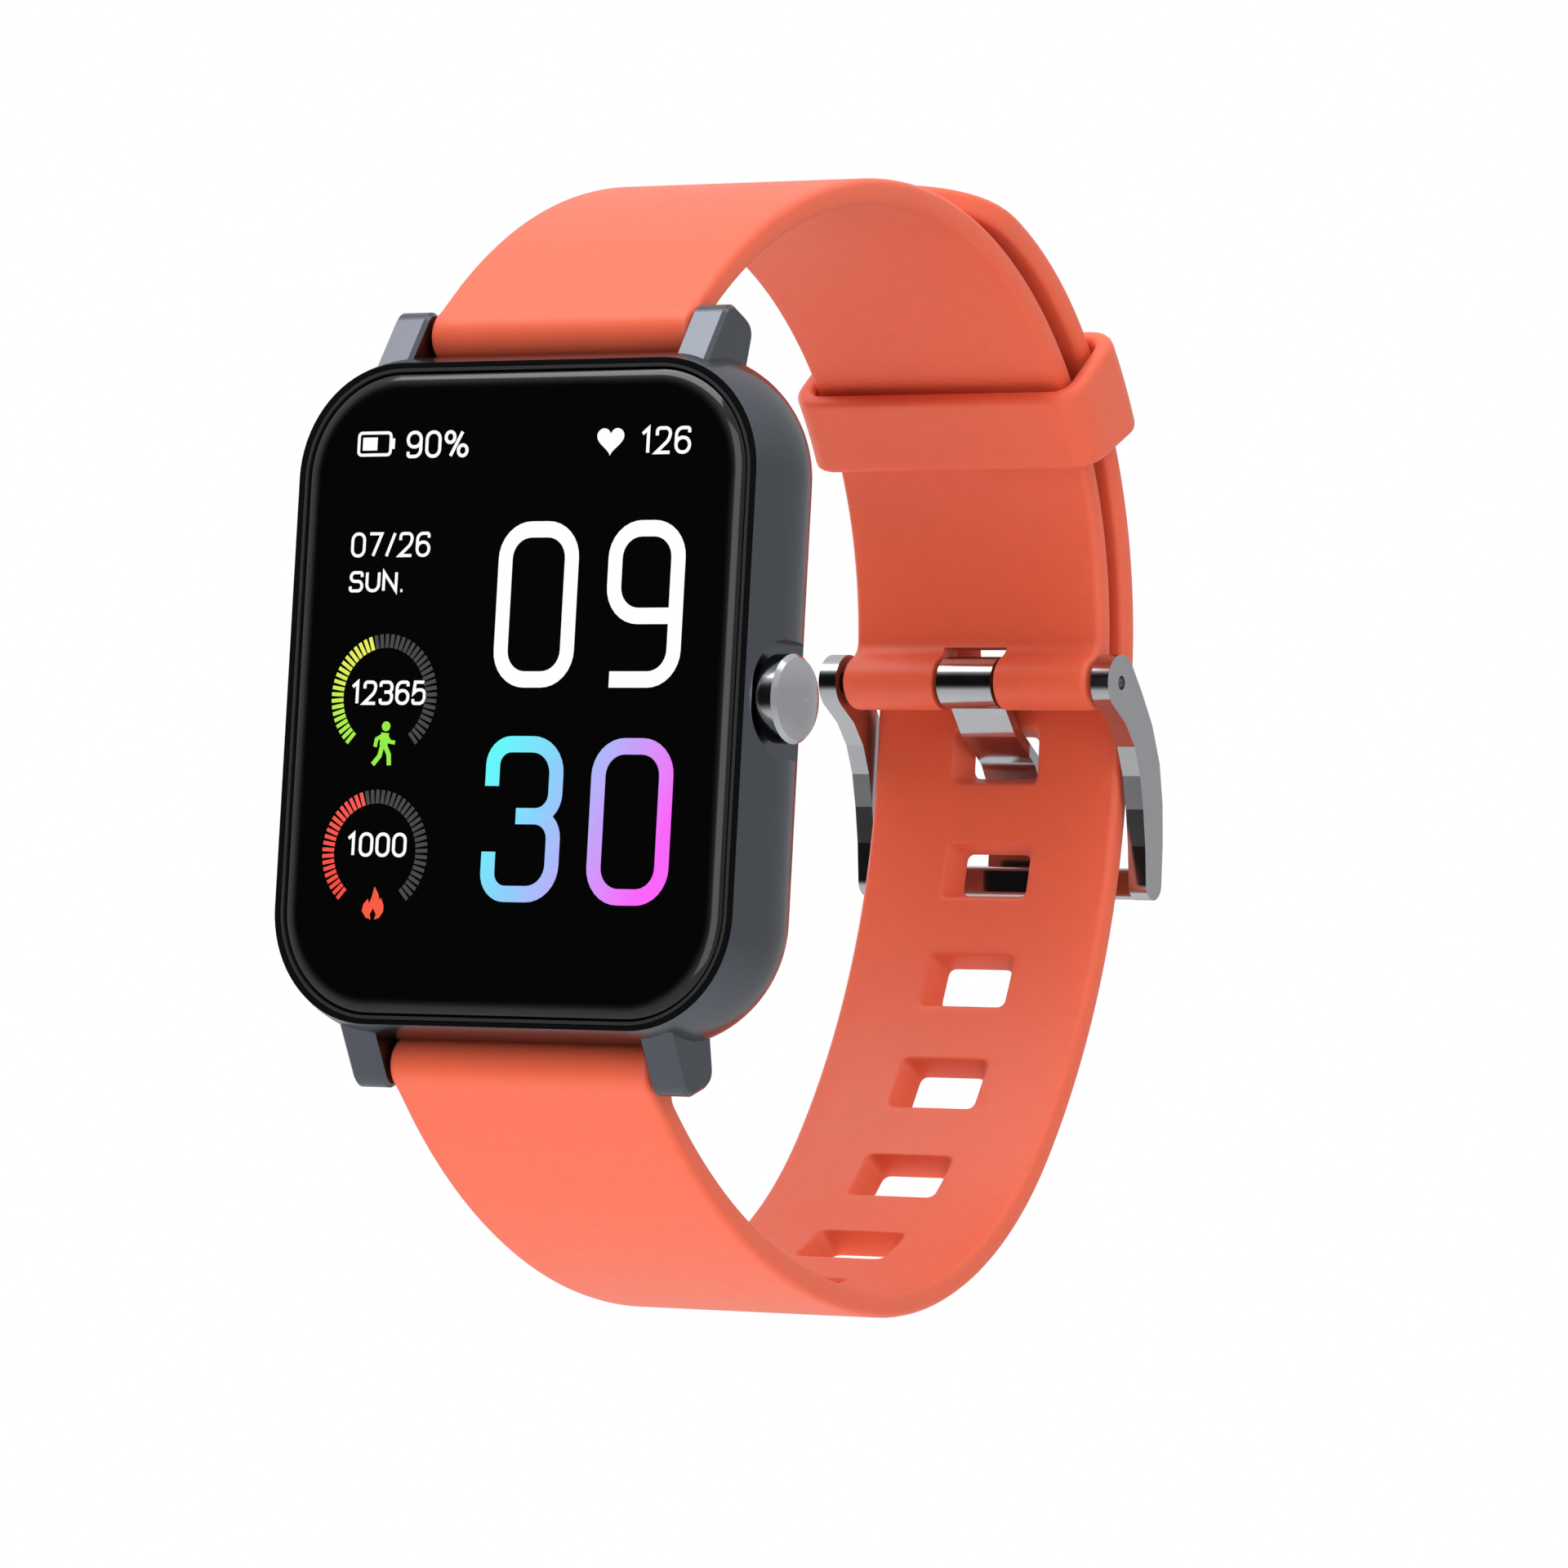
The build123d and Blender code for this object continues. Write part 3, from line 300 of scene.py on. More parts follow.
def cut(target, add_shape, *sizes):
    """Takes one shape out of the target and leaves a plain mesh."""
    shape = bmesh.new()
    add_shape(shape, *sizes)
    tool = bpy.data.objects.new("cutter", bpy.data.meshes.new("cutter"))
    shape.to_mesh(tool.data)
    shape.free()
    bpy.context.scene.collection.objects.link(tool)
    modifier = target.modifiers.new("cut", "BOOLEAN")
    modifier.operation, modifier.solver, modifier.object = "DIFFERENCE", "EXACT", tool
    modifier.use_self = False
    graph = bpy.context.evaluated_depsgraph_get()
    result = bpy.data.meshes.new_from_object(target.evaluated_get(graph))
    target.modifiers.clear()
    old, target.data = target.data, result
    result.name = target.name
    bpy.data.meshes.remove(old)
    bpy.data.objects.remove(tool)
    result.shade_smooth()
    result.set_sharp_from_angle(angle=radians(SMOOTH_ANGLE))


def circle(u, v, radius, sides=24):
    return [(u + radius * cos(2 * pi * i / sides), v + radius * sin(2 * pi * i / sides)) for i in range(sides)]


def add_prism(mesh, first, last):
    """Closed solid between two like outlines."""
    first, last = [[mesh.verts.new(metres(p)) for p in outline] for outline in (first, last)]
    for i in range(len(first)):
        j = (i + 1) % len(first)
        mesh.faces.new((first[i], first[j], last[j], last[i]))
    mesh.faces.new(first[::-1])
    mesh.faces.new(last)


def add_rod(mesh, y, z, radius, half_length, sides=48):
    """Closed cylinder along X."""
    outline = circle(y, z, radius, sides)
    add_prism(mesh, *[[(x, *point) for point in outline] for x in (-half_length, half_length)])


def add_box(mesh, low, high):
    corners = [mesh.verts.new(metres((x, y, z))) for x in (low[0], high[0]) for y in (low[1], high[1])
               for z in (low[2], high[2])]
    for face in ((0, 1, 3, 2), (4, 6, 7, 5), (0, 4, 5, 1), (2, 3, 7, 6), (0, 2, 6, 4), (1, 5, 7, 3)):
        mesh.faces.new([corners[i] for i in face])


def polar(centre, radius, angle):
    return (centre[0] + radius * cos(radians(angle)), centre[1] + radius * sin(radians(angle)))


def rounded_outline(half_u, half_v, corner, steps, middle_v=0.0):
    """Rectangle with round corners: (u, v, outward u, outward v) all the way round."""
    outline = []
    for side_u, side_v, begin in ((1, 1, 0), (-1, 1, 90), (-1, -1, 180), (1, -1, 270)):
        centre = (side_u * (half_u - corner), middle_v + side_v * (half_v - corner))
        for i in range(steps + 1):
            angle = begin + 90 * i / steps
            outline.append((*polar(centre, corner, angle), *polar((0, 0), 1.0, angle)))
    return outline


def filled_loop(points, count_between):
    """Closed loop with even steps put between its points; its first point comes again at the end."""
    made = []
    for a, b in zip(points, points[1:] + points[:1]):
        count = max(1, count_between(a, b))
        made += [tuple(p + (q - p) * (i / count) for p, q in zip(a, b)) for i in range(count)]
    return made + made[:1]


# ------------------------------------------------------------------ strap routes

class Route:
    """Mid-line of a strap in (y, z): tangent arcs, with a straight run wherever two don't meet.
    An arc is (centre, radius, start angle, end angle)."""

    def __init__(self, arcs):
        self.runs, self.starts, self.length = [], [], 0.0
        last = None
        for centre, radius, start, end in arcs:
            first = polar(centre, radius, start)
            gap = hypot(first[0] - last[0], first[1] - last[1]) if last else 0.0
            if gap > JOIN_GAP:
                self.add(gap, (last, start, 0.0, 0.0))
            self.starts.append(self.length)
            turn = end - start
            self.add(abs(radians(turn)) * radius, (first, start, turn, radius))
            last = polar(centre, radius, end)
        self.forward = 1.0 if arcs[0][3] > arcs[0][2] else -1.0

    def add(self, length, run):
        self.runs.append((self.length, run))
        self.length += length

    def at(self, x, s, n):
        """Point at distance s along the mid-line and n away from the inside of the loop.
        Before the start and past the end the mid-line runs straight on."""
        inside = min(max(s, 0.0), self.length)
        begin, (first, start, turn, radius) = [r for r in self.runs if r[0] <= inside][-1]
        along = inside - begin
        angle, point, straight = start, first, s - inside
        if radius:
            angle = start + turn * along / (abs(radians(turn)) * radius)
            point = polar(polar(first, -radius, start), radius, angle)
        else:
            straight += along
        ny, nz = polar((0, 0), 1.0, angle)
        forward = self.forward * straight
        return (x, point[0] - nz * forward + ny * n, point[1] + ny * forward + nz * n)


def quarter_turn(steps):
    return [pi / 2 * i / steps for i in range(steps + 1)]


# Quarter turn from a flat face over its edge: (share outward, share down).
ROUNDING = [(sin(a), 1 - cos(a)) for a in quarter_turn(EDGE_STEPS)]

FACE_HALF = STRAP_HALF_WIDTH - STRAP_EDGE_R
FACE_X = [FACE_HALF * (2 * i / FACE_STEPS - 1) for i in range(FACE_STEPS + 1)]
RIGHT_EDGE = [(FACE_HALF + STRAP_EDGE_R * out, STRAP_EDGE_R * down) for out, down in ROUNDING]
LEFT_EDGE = [(-x, drop) for x, drop in RIGHT_EDGE[::-1]]
FACE = [(x, 0.0) for x in FACE_X]
ACROSS = LEFT_EDGE[:-1] + FACE + RIGHT_EDGE[1:]


def spaced(start, end):
    """Even stations along a strap, a row pitch or less apart."""
    count = max(1, ceil((end - start) / ROW_PITCH - PITCH_SLACK))
    return [start + (end - start) * i / count for i in range(count + 1)]


def face_rows(route, stations, side, columns=ACROSS):
    """Rows of one broad face of the strap; side is 1 away from the wrist and -1 towards it."""
    return [[route.at(x, s, side * (STRAP_HALF_THICK - drop)) for x, drop in columns] for s in stations]


def flanks(mesh, route, stations):
    """Narrow side strips between the two rounded edges."""
    flat = STRAP_HALF_THICK - STRAP_EDGE_R
    for x in (-STRAP_HALF_WIDTH, STRAP_HALF_WIDTH):
        grid(mesh, [[route.at(x, s, flat), route.at(x, s, -flat)] for s in stations])


def eye_blend(middle, radius, side, blend):
    """Hollow curve from one broad face onto a round end, with the angle at which it arrives there."""
    arm = radius + blend
    height = side * (STRAP_HALF_THICK + blend) - middle
    distance = sqrt(arm ** 2 - height ** 2)
    toward_s, toward_n = distance / arm, height / arm
    bend = []
    for i in range(EYE_BLEND_STEPS + 1):
        share = i / EYE_BLEND_STEPS
        s, n = -toward_s * share, -side * (1 - share) - toward_n * share
        size = hypot(s, n)
        s, n = s / size, n / size
        bend.append((distance + blend * s, middle + height + blend * n, -s, -n))
    return bend, atan2(toward_n, toward_s)


def eye_contour(middle, radius):
    """Outline of a strap's round end in (s, n), from the outer face round to the inner face.
    s runs away from the bar. Each item is (s, n, outward s, outward n)."""
    outer, begin = eye_blend(middle, radius, 1, EYE_OUTER_BLEND_R)
    inner, end = eye_blend(middle, radius, -1, EYE_INNER_BLEND_R)
    turn = end + 2 * pi - begin
    bow = []
    for i in range(1, EYE_STEPS):
        angle = begin + turn * i / EYE_STEPS
        bow.append((radius * cos(angle), middle + radius * sin(angle), cos(angle), sin(angle)))
    return [(EYE_REACH, STRAP_HALF_THICK, 0.0, 1.0), *outer, *bow, *inner[::-1],
            (EYE_REACH, -STRAP_HALF_THICK, 0.0, -1.0)]


def add_eye(mesh, route, eye, at_end=False):
    """Round end of a strap about its spring bar, with flat flanks."""
    contour = eye_contour(*eye)

    def point(x, drop, item):
        s, n, out_s, out_n = item
        s -= out_s * drop
        return route.at(x, route.length - s if at_end else s, n - out_n * drop)

    grid(mesh, [[point(x, drop, item) for x, drop in ACROSS] for item in contour])
    for x in (-STRAP_HALF_WIDTH, STRAP_HALF_WIDTH):
        polygon(mesh, [point(x, STRAP_EDGE_R, item) for item in contour])


def rounded_box_point(x, s, half_x, half_s, corner):
    """Moves a point of a rectangle's outline onto the same rectangle with round corners."""
    over_x, over_s = abs(x) - (half_x - corner), abs(s) - (half_s - corner)
    if over_x > 0 and over_s > 0:
        size = hypot(over_x, over_s)
        x = (half_x - corner + corner * over_x / size) * (1 if x > 0 else -1)
        s = (half_s - corner + corner * over_s / size) * (1 if s > 0 else -1)
    return x, s


def add_hole_cell(mesh, route, middle, stations):
    """One pitch of the strap's two broad faces with a tapered square hole, its lips rounded."""
    half_s = (stations[-1] - stations[0]) / 2
    offsets = [s - middle for s in stations]
    border = [(x, offsets[0]) for x in FACE_X] + [(FACE_X[-1], s) for s in offsets[1:]]
    border += [(x, offsets[-1]) for x in FACE_X[-2::-1]] + [(FACE_X[0], s) for s in offsets[-2::-1]]

    def hole_ring(n, grow):
        share = (n + STRAP_HALF_THICK) / (2 * STRAP_HALF_THICK)
        half_x, half_z = [(a + (b - a) * share) / 2 + grow for a, b in zip(HOLE_WRIST_SIDE, HOLE_OUTER_SIDE)]
        return [rounded_box_point(x / FACE_HALF * half_x, s / half_s * half_z, half_x, half_z, HOLE_CORNER_R + grow)
                for x, s in border]

    rings = []
    for side in (1, -1):
        flat = hole_ring(side * STRAP_HALF_THICK, HOLE_LIP_R)
        rows = [[(x + (hx - x) * t, s + (hs - s) * t, side * STRAP_HALF_THICK)
                 for (x, s), (hx, hs) in zip(border, flat)] for t in HOLE_FACE_SHARES]
        for out, down in ROUNDING:
            n = side * (STRAP_HALF_THICK - HOLE_LIP_R * down)
            rows.append([(x, s, n) for x, s in hole_ring(n, HOLE_LIP_R * (1 - out))])
        rings.append(rows)
    outer, inner = rings
    walls = outer + inner[::-1]
    grid(mesh, [[route.at(x, middle + s, n) for x, s, n in ring] for ring in walls])


def add_tail(mesh, route, start):
    """Free end of the lower strap, its corners rounded in plan and its edges rounded all round."""
    corner = TAIL_CORNER_R
    core = STRAP_HALF_WIDTH - corner
    reach = corner - STRAP_EDGE_R
    turns = quarter_turn(TAIL_CORNER_STEPS)
    for side in (1, -1):
        face, left, right = [], [], []
        for turn in turns:
            s, half = start + reach * sin(turn), core + reach * cos(turn)
            face.append([route.at(x / FACE_HALF * half, s, side * STRAP_HALF_THICK) for x in FACE_X])
            for rim, way in ((right, 1), (left, -1)):
                rim.append([route.at(way * (half + STRAP_EDGE_R * out * cos(turn)), s + STRAP_EDGE_R * out * sin(turn),
                                     side * (STRAP_HALF_THICK - STRAP_EDGE_R * down)) for out, down in ROUNDING])
        for rows in (face, left, right):
            grid(mesh, rows)
        end = start + reach
        grid(mesh, [[route.at(x / FACE_HALF * core, end + STRAP_EDGE_R * out,
                              side * (STRAP_HALF_THICK - STRAP_EDGE_R * down)) for x in FACE_X]
                    for out, down in ROUNDING])
    flat = STRAP_HALF_THICK - STRAP_EDGE_R
    for way in (1, -1):
        grid(mesh, [[route.at(way * (core + corner * cos(t)), start + corner * sin(t), n) for t in turns]
                    for n in (flat, -flat)])
    grid(mesh, [[route.at(x / FACE_HALF * core, start + corner, n) for x in FACE_X] for n in (flat, -flat)])


UPPER_CENTRE = (LOOP_Y, BACK_ARC_Z + UPPER_BACK_R - UPPER_FRONT_R)
TURN_CENTRE = (LOWER_CENTRE[0], LOWER_CENTRE[1] - LOWER_FRONT_R + TURN_R)
TURN_POINT = polar(TURN_CENTRE, TURN_R, TURN_END)
RISE_R = (LOOP_Y + LOWER_BACK_R - TURN_POINT[0]) / (1 - cos(radians(TURN_END)))
RISE_CENTRE = (LOOP_Y + LOWER_BACK_R - RISE_R, TURN_POINT[1] - RISE_R * sin(radians(TURN_END)))
TAIL_CENTRE = polar(BACK_CENTRE, LOWER_BACK_R - TAIL_R, TAIL_FROM)
upper_route = Route([(UPPER_CENTRE, UPPER_FRONT_R, UPPER_START, 90.0), (BACK_CENTRE, UPPER_BACK_R, 90.0, UPPER_END)])
lower_route = Route([(LOWER_CENTRE, LOWER_FRONT_R, LOWER_START, 270.0),
                     (TURN_CENTRE, TURN_R, 270.0, 360.0 + TURN_END), (RISE_CENTRE, RISE_R, TURN_END, 0.0),
                     (BACK_CENTRE, LOWER_BACK_R, 0.0, TAIL_FROM), (TAIL_CENTRE, TAIL_R, TAIL_FROM, TAIL_TO)])
lower_back_start = lower_route.starts[3]  # its fourth arc goes round the back of the loop


def cut_bore(strap, y, z):
    """Hole for a spring bar."""
    cut(strap, add_rod, y, z, BORE_R, BORE_HALF_LENGTH)


def cut_lever_notch(strap, z):
    """Opening on the wrist's side through which a spring bar's lever is reached."""
    cut(strap, add_box, (LEVER_NOTCH_X[0], BAR_Y, z - LEVER_NOTCH_HALF_Z),
        (LEVER_NOTCH_X[1], BAR_Y + LEVER_NOTCH_DEPTH, z + LEVER_NOTCH_HALF_Z))


def make_upper_strap():
    mesh = bmesh.new()
    stations = spaced(EYE_REACH, upper_route.length - EYE_REACH)
    for side in (1, -1):
        grid(mesh, face_rows(upper_route, stations, side))
    flanks(mesh, upper_route, stations)
    add_eye(mesh, upper_route, LUG_EYE)
    add_eye(mesh, upper_route, BUCKLE_EYE, at_end=True)
    strap = piece("upper_strap_skin", mesh, materials["silicone"], "upper_strap")
    cut_bore(strap, BAR_Y, BAR_Z)
    cut_bore(strap, BUCKLE_Y, BUCKLE_Z)
    cut(strap, add_box, (-SLOT_HALF_WIDTH, BUCKLE_Y - SLOT_REACH, BUCKLE_Z - SLOT_REACH),
        (SLOT_HALF_WIDTH, BUCKLE_Y + SLOT_REACH, SLOT_TOP_Z))
    cut_lever_notch(strap, BAR_Z)
    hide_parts("upper_strap")


def make_lower_strap():
    mesh = bmesh.new()
    tang_s = lower_back_start - (BACK_ARC_Z - TANG_HOLE_Z)
    first = tang_s + (HOLES_ABOVE_TANG - HOLE_COUNT + 1) * HOLE_PITCH - HOLE_PITCH / 2
    last = first + HOLE_COUNT * HOLE_PITCH
    tail = lower_route.length - TAIL_CORNER_R
    for start, end in ((EYE_REACH, first), (last, tail)):
        stations = spaced(start, end)
        for side in (1, -1):
            grid(mesh, face_rows(lower_route, stations, side))
        flanks(mesh, lower_route, stations)
    for number in range(HOLE_COUNT):
        start = first + number * HOLE_PITCH
        stations = spaced(start, start + HOLE_PITCH)
        for side in (1, -1):
            for edge in (LEFT_EDGE, RIGHT_EDGE):
                grid(mesh, face_rows(lower_route, stations, side, edge))
        flanks(mesh, lower_route, stations)
        add_hole_cell(mesh, lower_route, start + HOLE_PITCH / 2, stations)
    add_eye(mesh, lower_route, LUG_EYE)
    add_tail(mesh, lower_route, tail)
    strap = piece("lower_strap_skin", mesh, materials["silicone"], "lower_strap")
    cut_bore(strap, BAR_Y, -BAR_Z)
    cut_lever_notch(strap, -BAR_Z)
    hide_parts("lower_strap")


def make_keeper():
    """Loop round both straps: a rounded strip swept round a rounded rectangle in (x, radius)."""
    half_x = KEEPER_HALF_WIDTH + KEEPER_WALL / 2
    low, high = KEEPER_INNER_R - KEEPER_WALL / 2, KEEPER_OUTER_R + KEEPER_WALL / 2
    middle, half_r = (low + high) / 2, (high - low) / 2
    path = filled_loop(rounded_outline(half_x, half_r, KEEPER_CORNER_R, KEEPER_CORNER_STEPS, middle),
                       lambda a, b: round(hypot(b[0] - a[0], b[1] - a[1]) / KEEPER_PITCH_ROUND))
    half_wall, half_width, edge = KEEPER_WALL / 2, radians(KEEPER_HALF_ANGLE) * middle, KEEPER_EDGE_R
    corners = []
    for side_w, side_n, flip in ((1, 1, False), (1, -1, True), (-1, -1, False), (-1, 1, True)):
        bend = [(side_w * (half_width - edge + edge * out), side_n * (half_wall - edge * down))
                for out, down in ROUNDING]
        corners += bend[::-1] if flip else bend
    section = filled_loop(corners, lambda a, b: ceil(abs(b[0] - a[0]) / KEEPER_PITCH_ACROSS))
    mesh = bmesh.new()
    grid(mesh, [[(x + out_x * n, *polar(BACK_CENTRE, r + out_r * n, KEEPER_ANGLE + KEEPER_HALF_ANGLE * w / half_width))
                 for w, n in section] for x, r, out_x, out_r in path])
    keeper = piece("keeper_loop", mesh, materials["silicone"], "keeper", KEEPER_SMOOTH_ANGLE)
    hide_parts("keeper")


make_upper_strap()
make_lower_strap()
make_keeper()


# ------------------------------------------------------------------ cover glass

def glass_ring(inset, y):
    """Rounded outline of the glass, drawn in by an inset."""
    outline = rounded_outline(GLASS_HALF_X - inset, GLASS_HALF_Z - inset, GLASS_CORNER_R - inset, GLASS_CORNER_STEPS)
    return [(x, y, z) for x, z, _, _ in outline]


def make_glass():
    """Glass whose front falls away gently towards its outline."""
    rings = [glass_ring(GLASS_EDGE_WIDTH * (1 - sin(t)), GLASS_Y + GLASS_EDGE_DROP * (1 - cos(t)))
             for t in quarter_turn(GLASS_EDGE_STEPS)]
    rings.append(glass_ring(0.0, GLASS_BACK_Y))
    mesh = bmesh.new()
    grid(mesh, [ring + ring[:1] for ring in rings])
    polygon(mesh, rings[0])
    polygon(mesh, rings[-1])
    glass = piece("cover_glass_skin", mesh, materials["cover_glass"], "case")
    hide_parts("cover_glass")


make_glass()


# ------------------------------------------------------------------ bevelled metal

for node, width in BEVELS.items():
    bevel = frame["nodes"][node].modifiers.new("edge_bevel", "BEVEL")
    bevel.width, bevel.segments = width * MM, BEVEL_SEGMENTS
    bevel.limit_method, bevel.angle_limit = "ANGLE", radians(BEVEL_ANGLE)


# ------------------------------------------------------------------ display graphics

PIXEL_ROUGHNESS, PIXEL_GRAIN, PIXEL_DIM = 0.4, 0.12, 0.97


def glow(name, colour):
    """Lit pixels: a black base with light of its own, finely uneven."""
    made = shader(name, (0.0, 0.0, 0.0), PIXEL_ROUGHNESS, Emission_Strength=1.0)
    vary_colour(made, PIXEL_GRAIN, [c * PIXEL_DIM for c in colour], colour, socket="Emission Color")
    return made


def glow_fade(name, direction, start, end, colours):
    """Lit pixels whose colour changes along a direction in (x, z), from start to end in millimetres."""
    made = shader(name, (0.0, 0.0, 0.0), PIXEL_ROUGHNESS, Emission_Strength=1.0)
    tree = made.node_tree
    place = tree.nodes.new("ShaderNodeTexCoord")
    along = add_maths(tree, "DOT_PRODUCT", "VectorMath")
    size = hypot(*direction)
    along.inputs[1].default_value = (direction[0] / size, 0.0, direction[1] / size)
    span = add_span(tree, start * MM, end * MM)
    ramp = add_ramp(tree, [(i / (len(colours) - 1), colour) for i, colour in enumerate(colours)])
    connect(tree, (place.outputs["Object"], along.inputs[0]), (along.outputs["Value"], span.inputs["Value"]),
            (span.outputs["Result"], ramp.inputs["Fac"]),
            (ramp.outputs["Color"], tree.nodes["Principled BSDF"].inputs["Emission Color"]))
    return made


WHITE = glow("pixels_white", (1.0, 1.0, 1.0))
GREY = glow("pixels_grey", (0.06, 0.06, 0.06))
GREEN = glow("pixels_green", (0.3, 0.85, 0.06))
RED = glow("pixels_red", (0.95, 0.1, 0.05))
MINUTES = glow_fade("pixels_minutes", (1.0, -0.45), 1.0, 15.0,
                    [(0.12, 0.93, 0.95), (0.25, 0.62, 0.95), (0.55, 0.35, 0.95), (0.95, 0.12, 0.95)])
STEPS_FADE = glow_fade("pixels_steps", (0.0, 1.0), -3.0, 4.0, [(0.36, 0.85, 0.06), (0.9, 0.85, 0.12)])
FIRE_FADE = glow_fade("pixels_fire", (0.0, 1.0), -13.0, -6.0, [(0.9, 0.07, 0.05), (0.95, 0.1, 0.09)])


BEND_STEPS, BEND_WEIGHT = 8, 0.707  # this weight makes the bend at a right corner circular


def rounded(points, corner, closed):
    """Line with its corners rounded; a third value of 0 keeps that corner sharp."""
    made, count = [], len(points)
    for i, item in enumerate(points):
        p = Vector(item[:2])
        r = corner if len(item) < 3 else corner * item[2]
        if (not closed and i in (0, count - 1)) or r == 0:
            made.append(p)
            continue
        before, after = Vector(points[i - 1][:2]), Vector(points[(i + 1) % count][:2])
        back, on = before - p, after - p
        r = min(r, back.length / 2.01, on.length / 2.01)
        a, b = p + back.normalized() * r, p + on.normalized() * r
        for k in range(BEND_STEPS + 1):
            t = k / BEND_STEPS
            w = (1 - t) ** 2 + 2 * BEND_WEIGHT * t * (1 - t) + t ** 2
            made.append((a * (1 - t) ** 2 + p * 2 * BEND_WEIGHT * t * (1 - t) + b * t ** 2) / w)
    return made


def add_stroke(mesh, points, width, closed=False):
    """Flat line of the given width on the glass, as a thin closed solid."""
    count = len(points)
    rings = []
    for i, p in enumerate(points):
        before = points[i - 1] if closed or i else p
        after = points[(i + 1) % count] if closed or i < count - 1 else p
        d0, d1 = (p - before), (after - p)
        d0 = d0.normalized() if d0.length > 1e-9 else d1.normalized()
        d1 = d1.normalized() if d1.length > 1e-9 else d0
        mid = (d0 + d1).normalized()
        side = Vector((-mid.y, mid.x)) * (width / 2 / max(0.35, mid.dot(d1)))
        rings.append([mesh.verts.new(metres((q.x, y, q.y))) for q, y in
                      ((p + side, GLASS_Y - INK_THICK), (p - side, GLASS_Y - INK_THICK),
                       (p - side, GLASS_Y + INK_THICK), (p + side, GLASS_Y + INK_THICK))])
    for a, b in zip(rings, rings[1:] + (rings[:1] if closed else [])):
        for k in range(4):
            mesh.faces.new((a[k], a[(k + 1) % 4], b[(k + 1) % 4], b[k]))
    if not closed:
        mesh.faces.new(rings[0][::-1])
        mesh.faces.new(rings[-1])


def add_patch(mesh, outline):
    """Filled flat shape on the glass, as a thin closed solid."""
    add_prism(mesh, *[[(x, GLASS_Y + y, z) for x, z in outline] for y in (-INK_THICK, INK_THICK)])


def ink(name, mesh, finish):
    """Makes the strokes and patches one lit object on the display."""
    data = bpy.data.meshes.new(name)
    bmesh.ops.recalc_face_normals(mesh, faces=mesh.faces)
    mesh.to_mesh(data)
    mesh.free()
    data.materials.append(finish)
    made = bpy.data.objects.new(name, data)
    bpy.context.scene.collection.objects.link(made)
    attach(made, "case")


# Each character's width as a share of the letter scale, then its strokes in a unit box: (points, closed).
LETTERS = {
    "0": (0.52, [([(0, 0), (0, 1), (1, 1), (1, 0)], True)]),
    "1": (0.34, [([(0.1, 0.78, 0), (0.75, 1, 0), (0.75, 0, 0)], False)]),
    "2": (0.52, [([(0.03, 0.7), (0.03, 1), (1, 1), (1, 0.56), (0, 0, 0), (1, 0, 0)], False)]),
    "3": (0.52, [([(0, 0.78), (0, 1), (1, 1), (1, 0.53), (0.35, 0.53)], False),
                 ([(0.35, 0.53), (1, 0.53), (1, 0), (0, 0), (0, 0.22)], False)]),
    "5": (0.52, [([(0.92, 1, 0), (0.13, 1, 0), (0.05, 0.5, 0), (0.3, 0.64), (1, 0.64), (1, 0), (0, 0), (0, 0.2)],
                  False)]),
    "6": (0.52, [([(0, 0), (0, 0.6), (1, 0.6), (1, 0)], True), ([(0, 0.3), (0, 1), (0.96, 1), (0.96, 0.8)], False)]),
    "7": (0.52, [([(0, 1, 0), (1, 1, 0), (0.32, 0, 0)], False)]),
    "9": (0.52, [([(0, 1), (1, 1), (1, 0.4), (0, 0.4)], True), ([(1, 0.7), (1, 0), (0.04, 0), (0.04, 0.2)], False)]),
    "%": (0.86, [([(0, 0.56), (0, 1), (0.4, 1), (0.4, 0.56)], True), ([(0.6, 0), (0.6, 0.44), (1, 0.44), (1, 0)], True),
                 ([(0.76, 1), (0.24, 0)], False)]),
    "/": (0.34, [([(0, -0.02), (1, 1.02)], False)]),
    "S": (0.56, [([(0.98, 0.76), (0.98, 1), (0.03, 1), (0.03, 0.52), (1, 0.52), (1, 0), (0, 0), (0, 0.24)], False)]),
    "U": (0.58, [([(0, 1), (0, 0), (1, 0), (1, 1)], False)]),
    "N": (0.6, [([(0, 0, 0), (0, 1, 0), (1, 0, 0), (1, 1, 0)], False)]),
    ".": (0.08, [([(0, 0), (1, 0)], False)]),
}
LETTER_GAP, LETTER_ROUNDNESS = 0.24, 0.46


def write(name, text, left, right, top, bottom, stroke):
    """Generic stroke lettering that fills a box on the glass."""
    height = top - bottom - stroke
    natural = sum(LETTERS[c][0] for c in text) + LETTER_GAP * (len(text) - 1)
    scale = (right - left - stroke) / natural
    mesh = bmesh.new()
    x = left + stroke / 2
    for character in text:
        share, lines = LETTERS[character]
        width = share * scale
        for points, closed in lines:
            placed = [(x + p[0] * width, bottom + stroke / 2 + p[1] * height, *p[2:]) for p in points]
            add_stroke(mesh, rounded(placed, min(width, height) * LETTER_ROUNDNESS, closed), stroke, closed)
        x += width + LETTER_GAP * scale
    ink(name, mesh, WHITE)


BIG_STROKE, BIG_CORNER = 1.05, 1.9
BIG_DIGITS = {
    "0": [([(0, 0), (0, 1), (1, 1), (1, 0)], True)],
    "9": [([(1, 0.42, 0), (0, 0.42), (0, 1), (1, 1), (1, 0), (0, 0, 0)], False)],
    "3": [([(0, 0.72, 0), (0, 1), (1, 1), (1, 0.52), (0.4, 0.52, 0)], False),
          ([(0.4, 0.52, 0), (1, 0.52), (1, 0), (0, 0), (0, 0.28, 0)], False)],
}


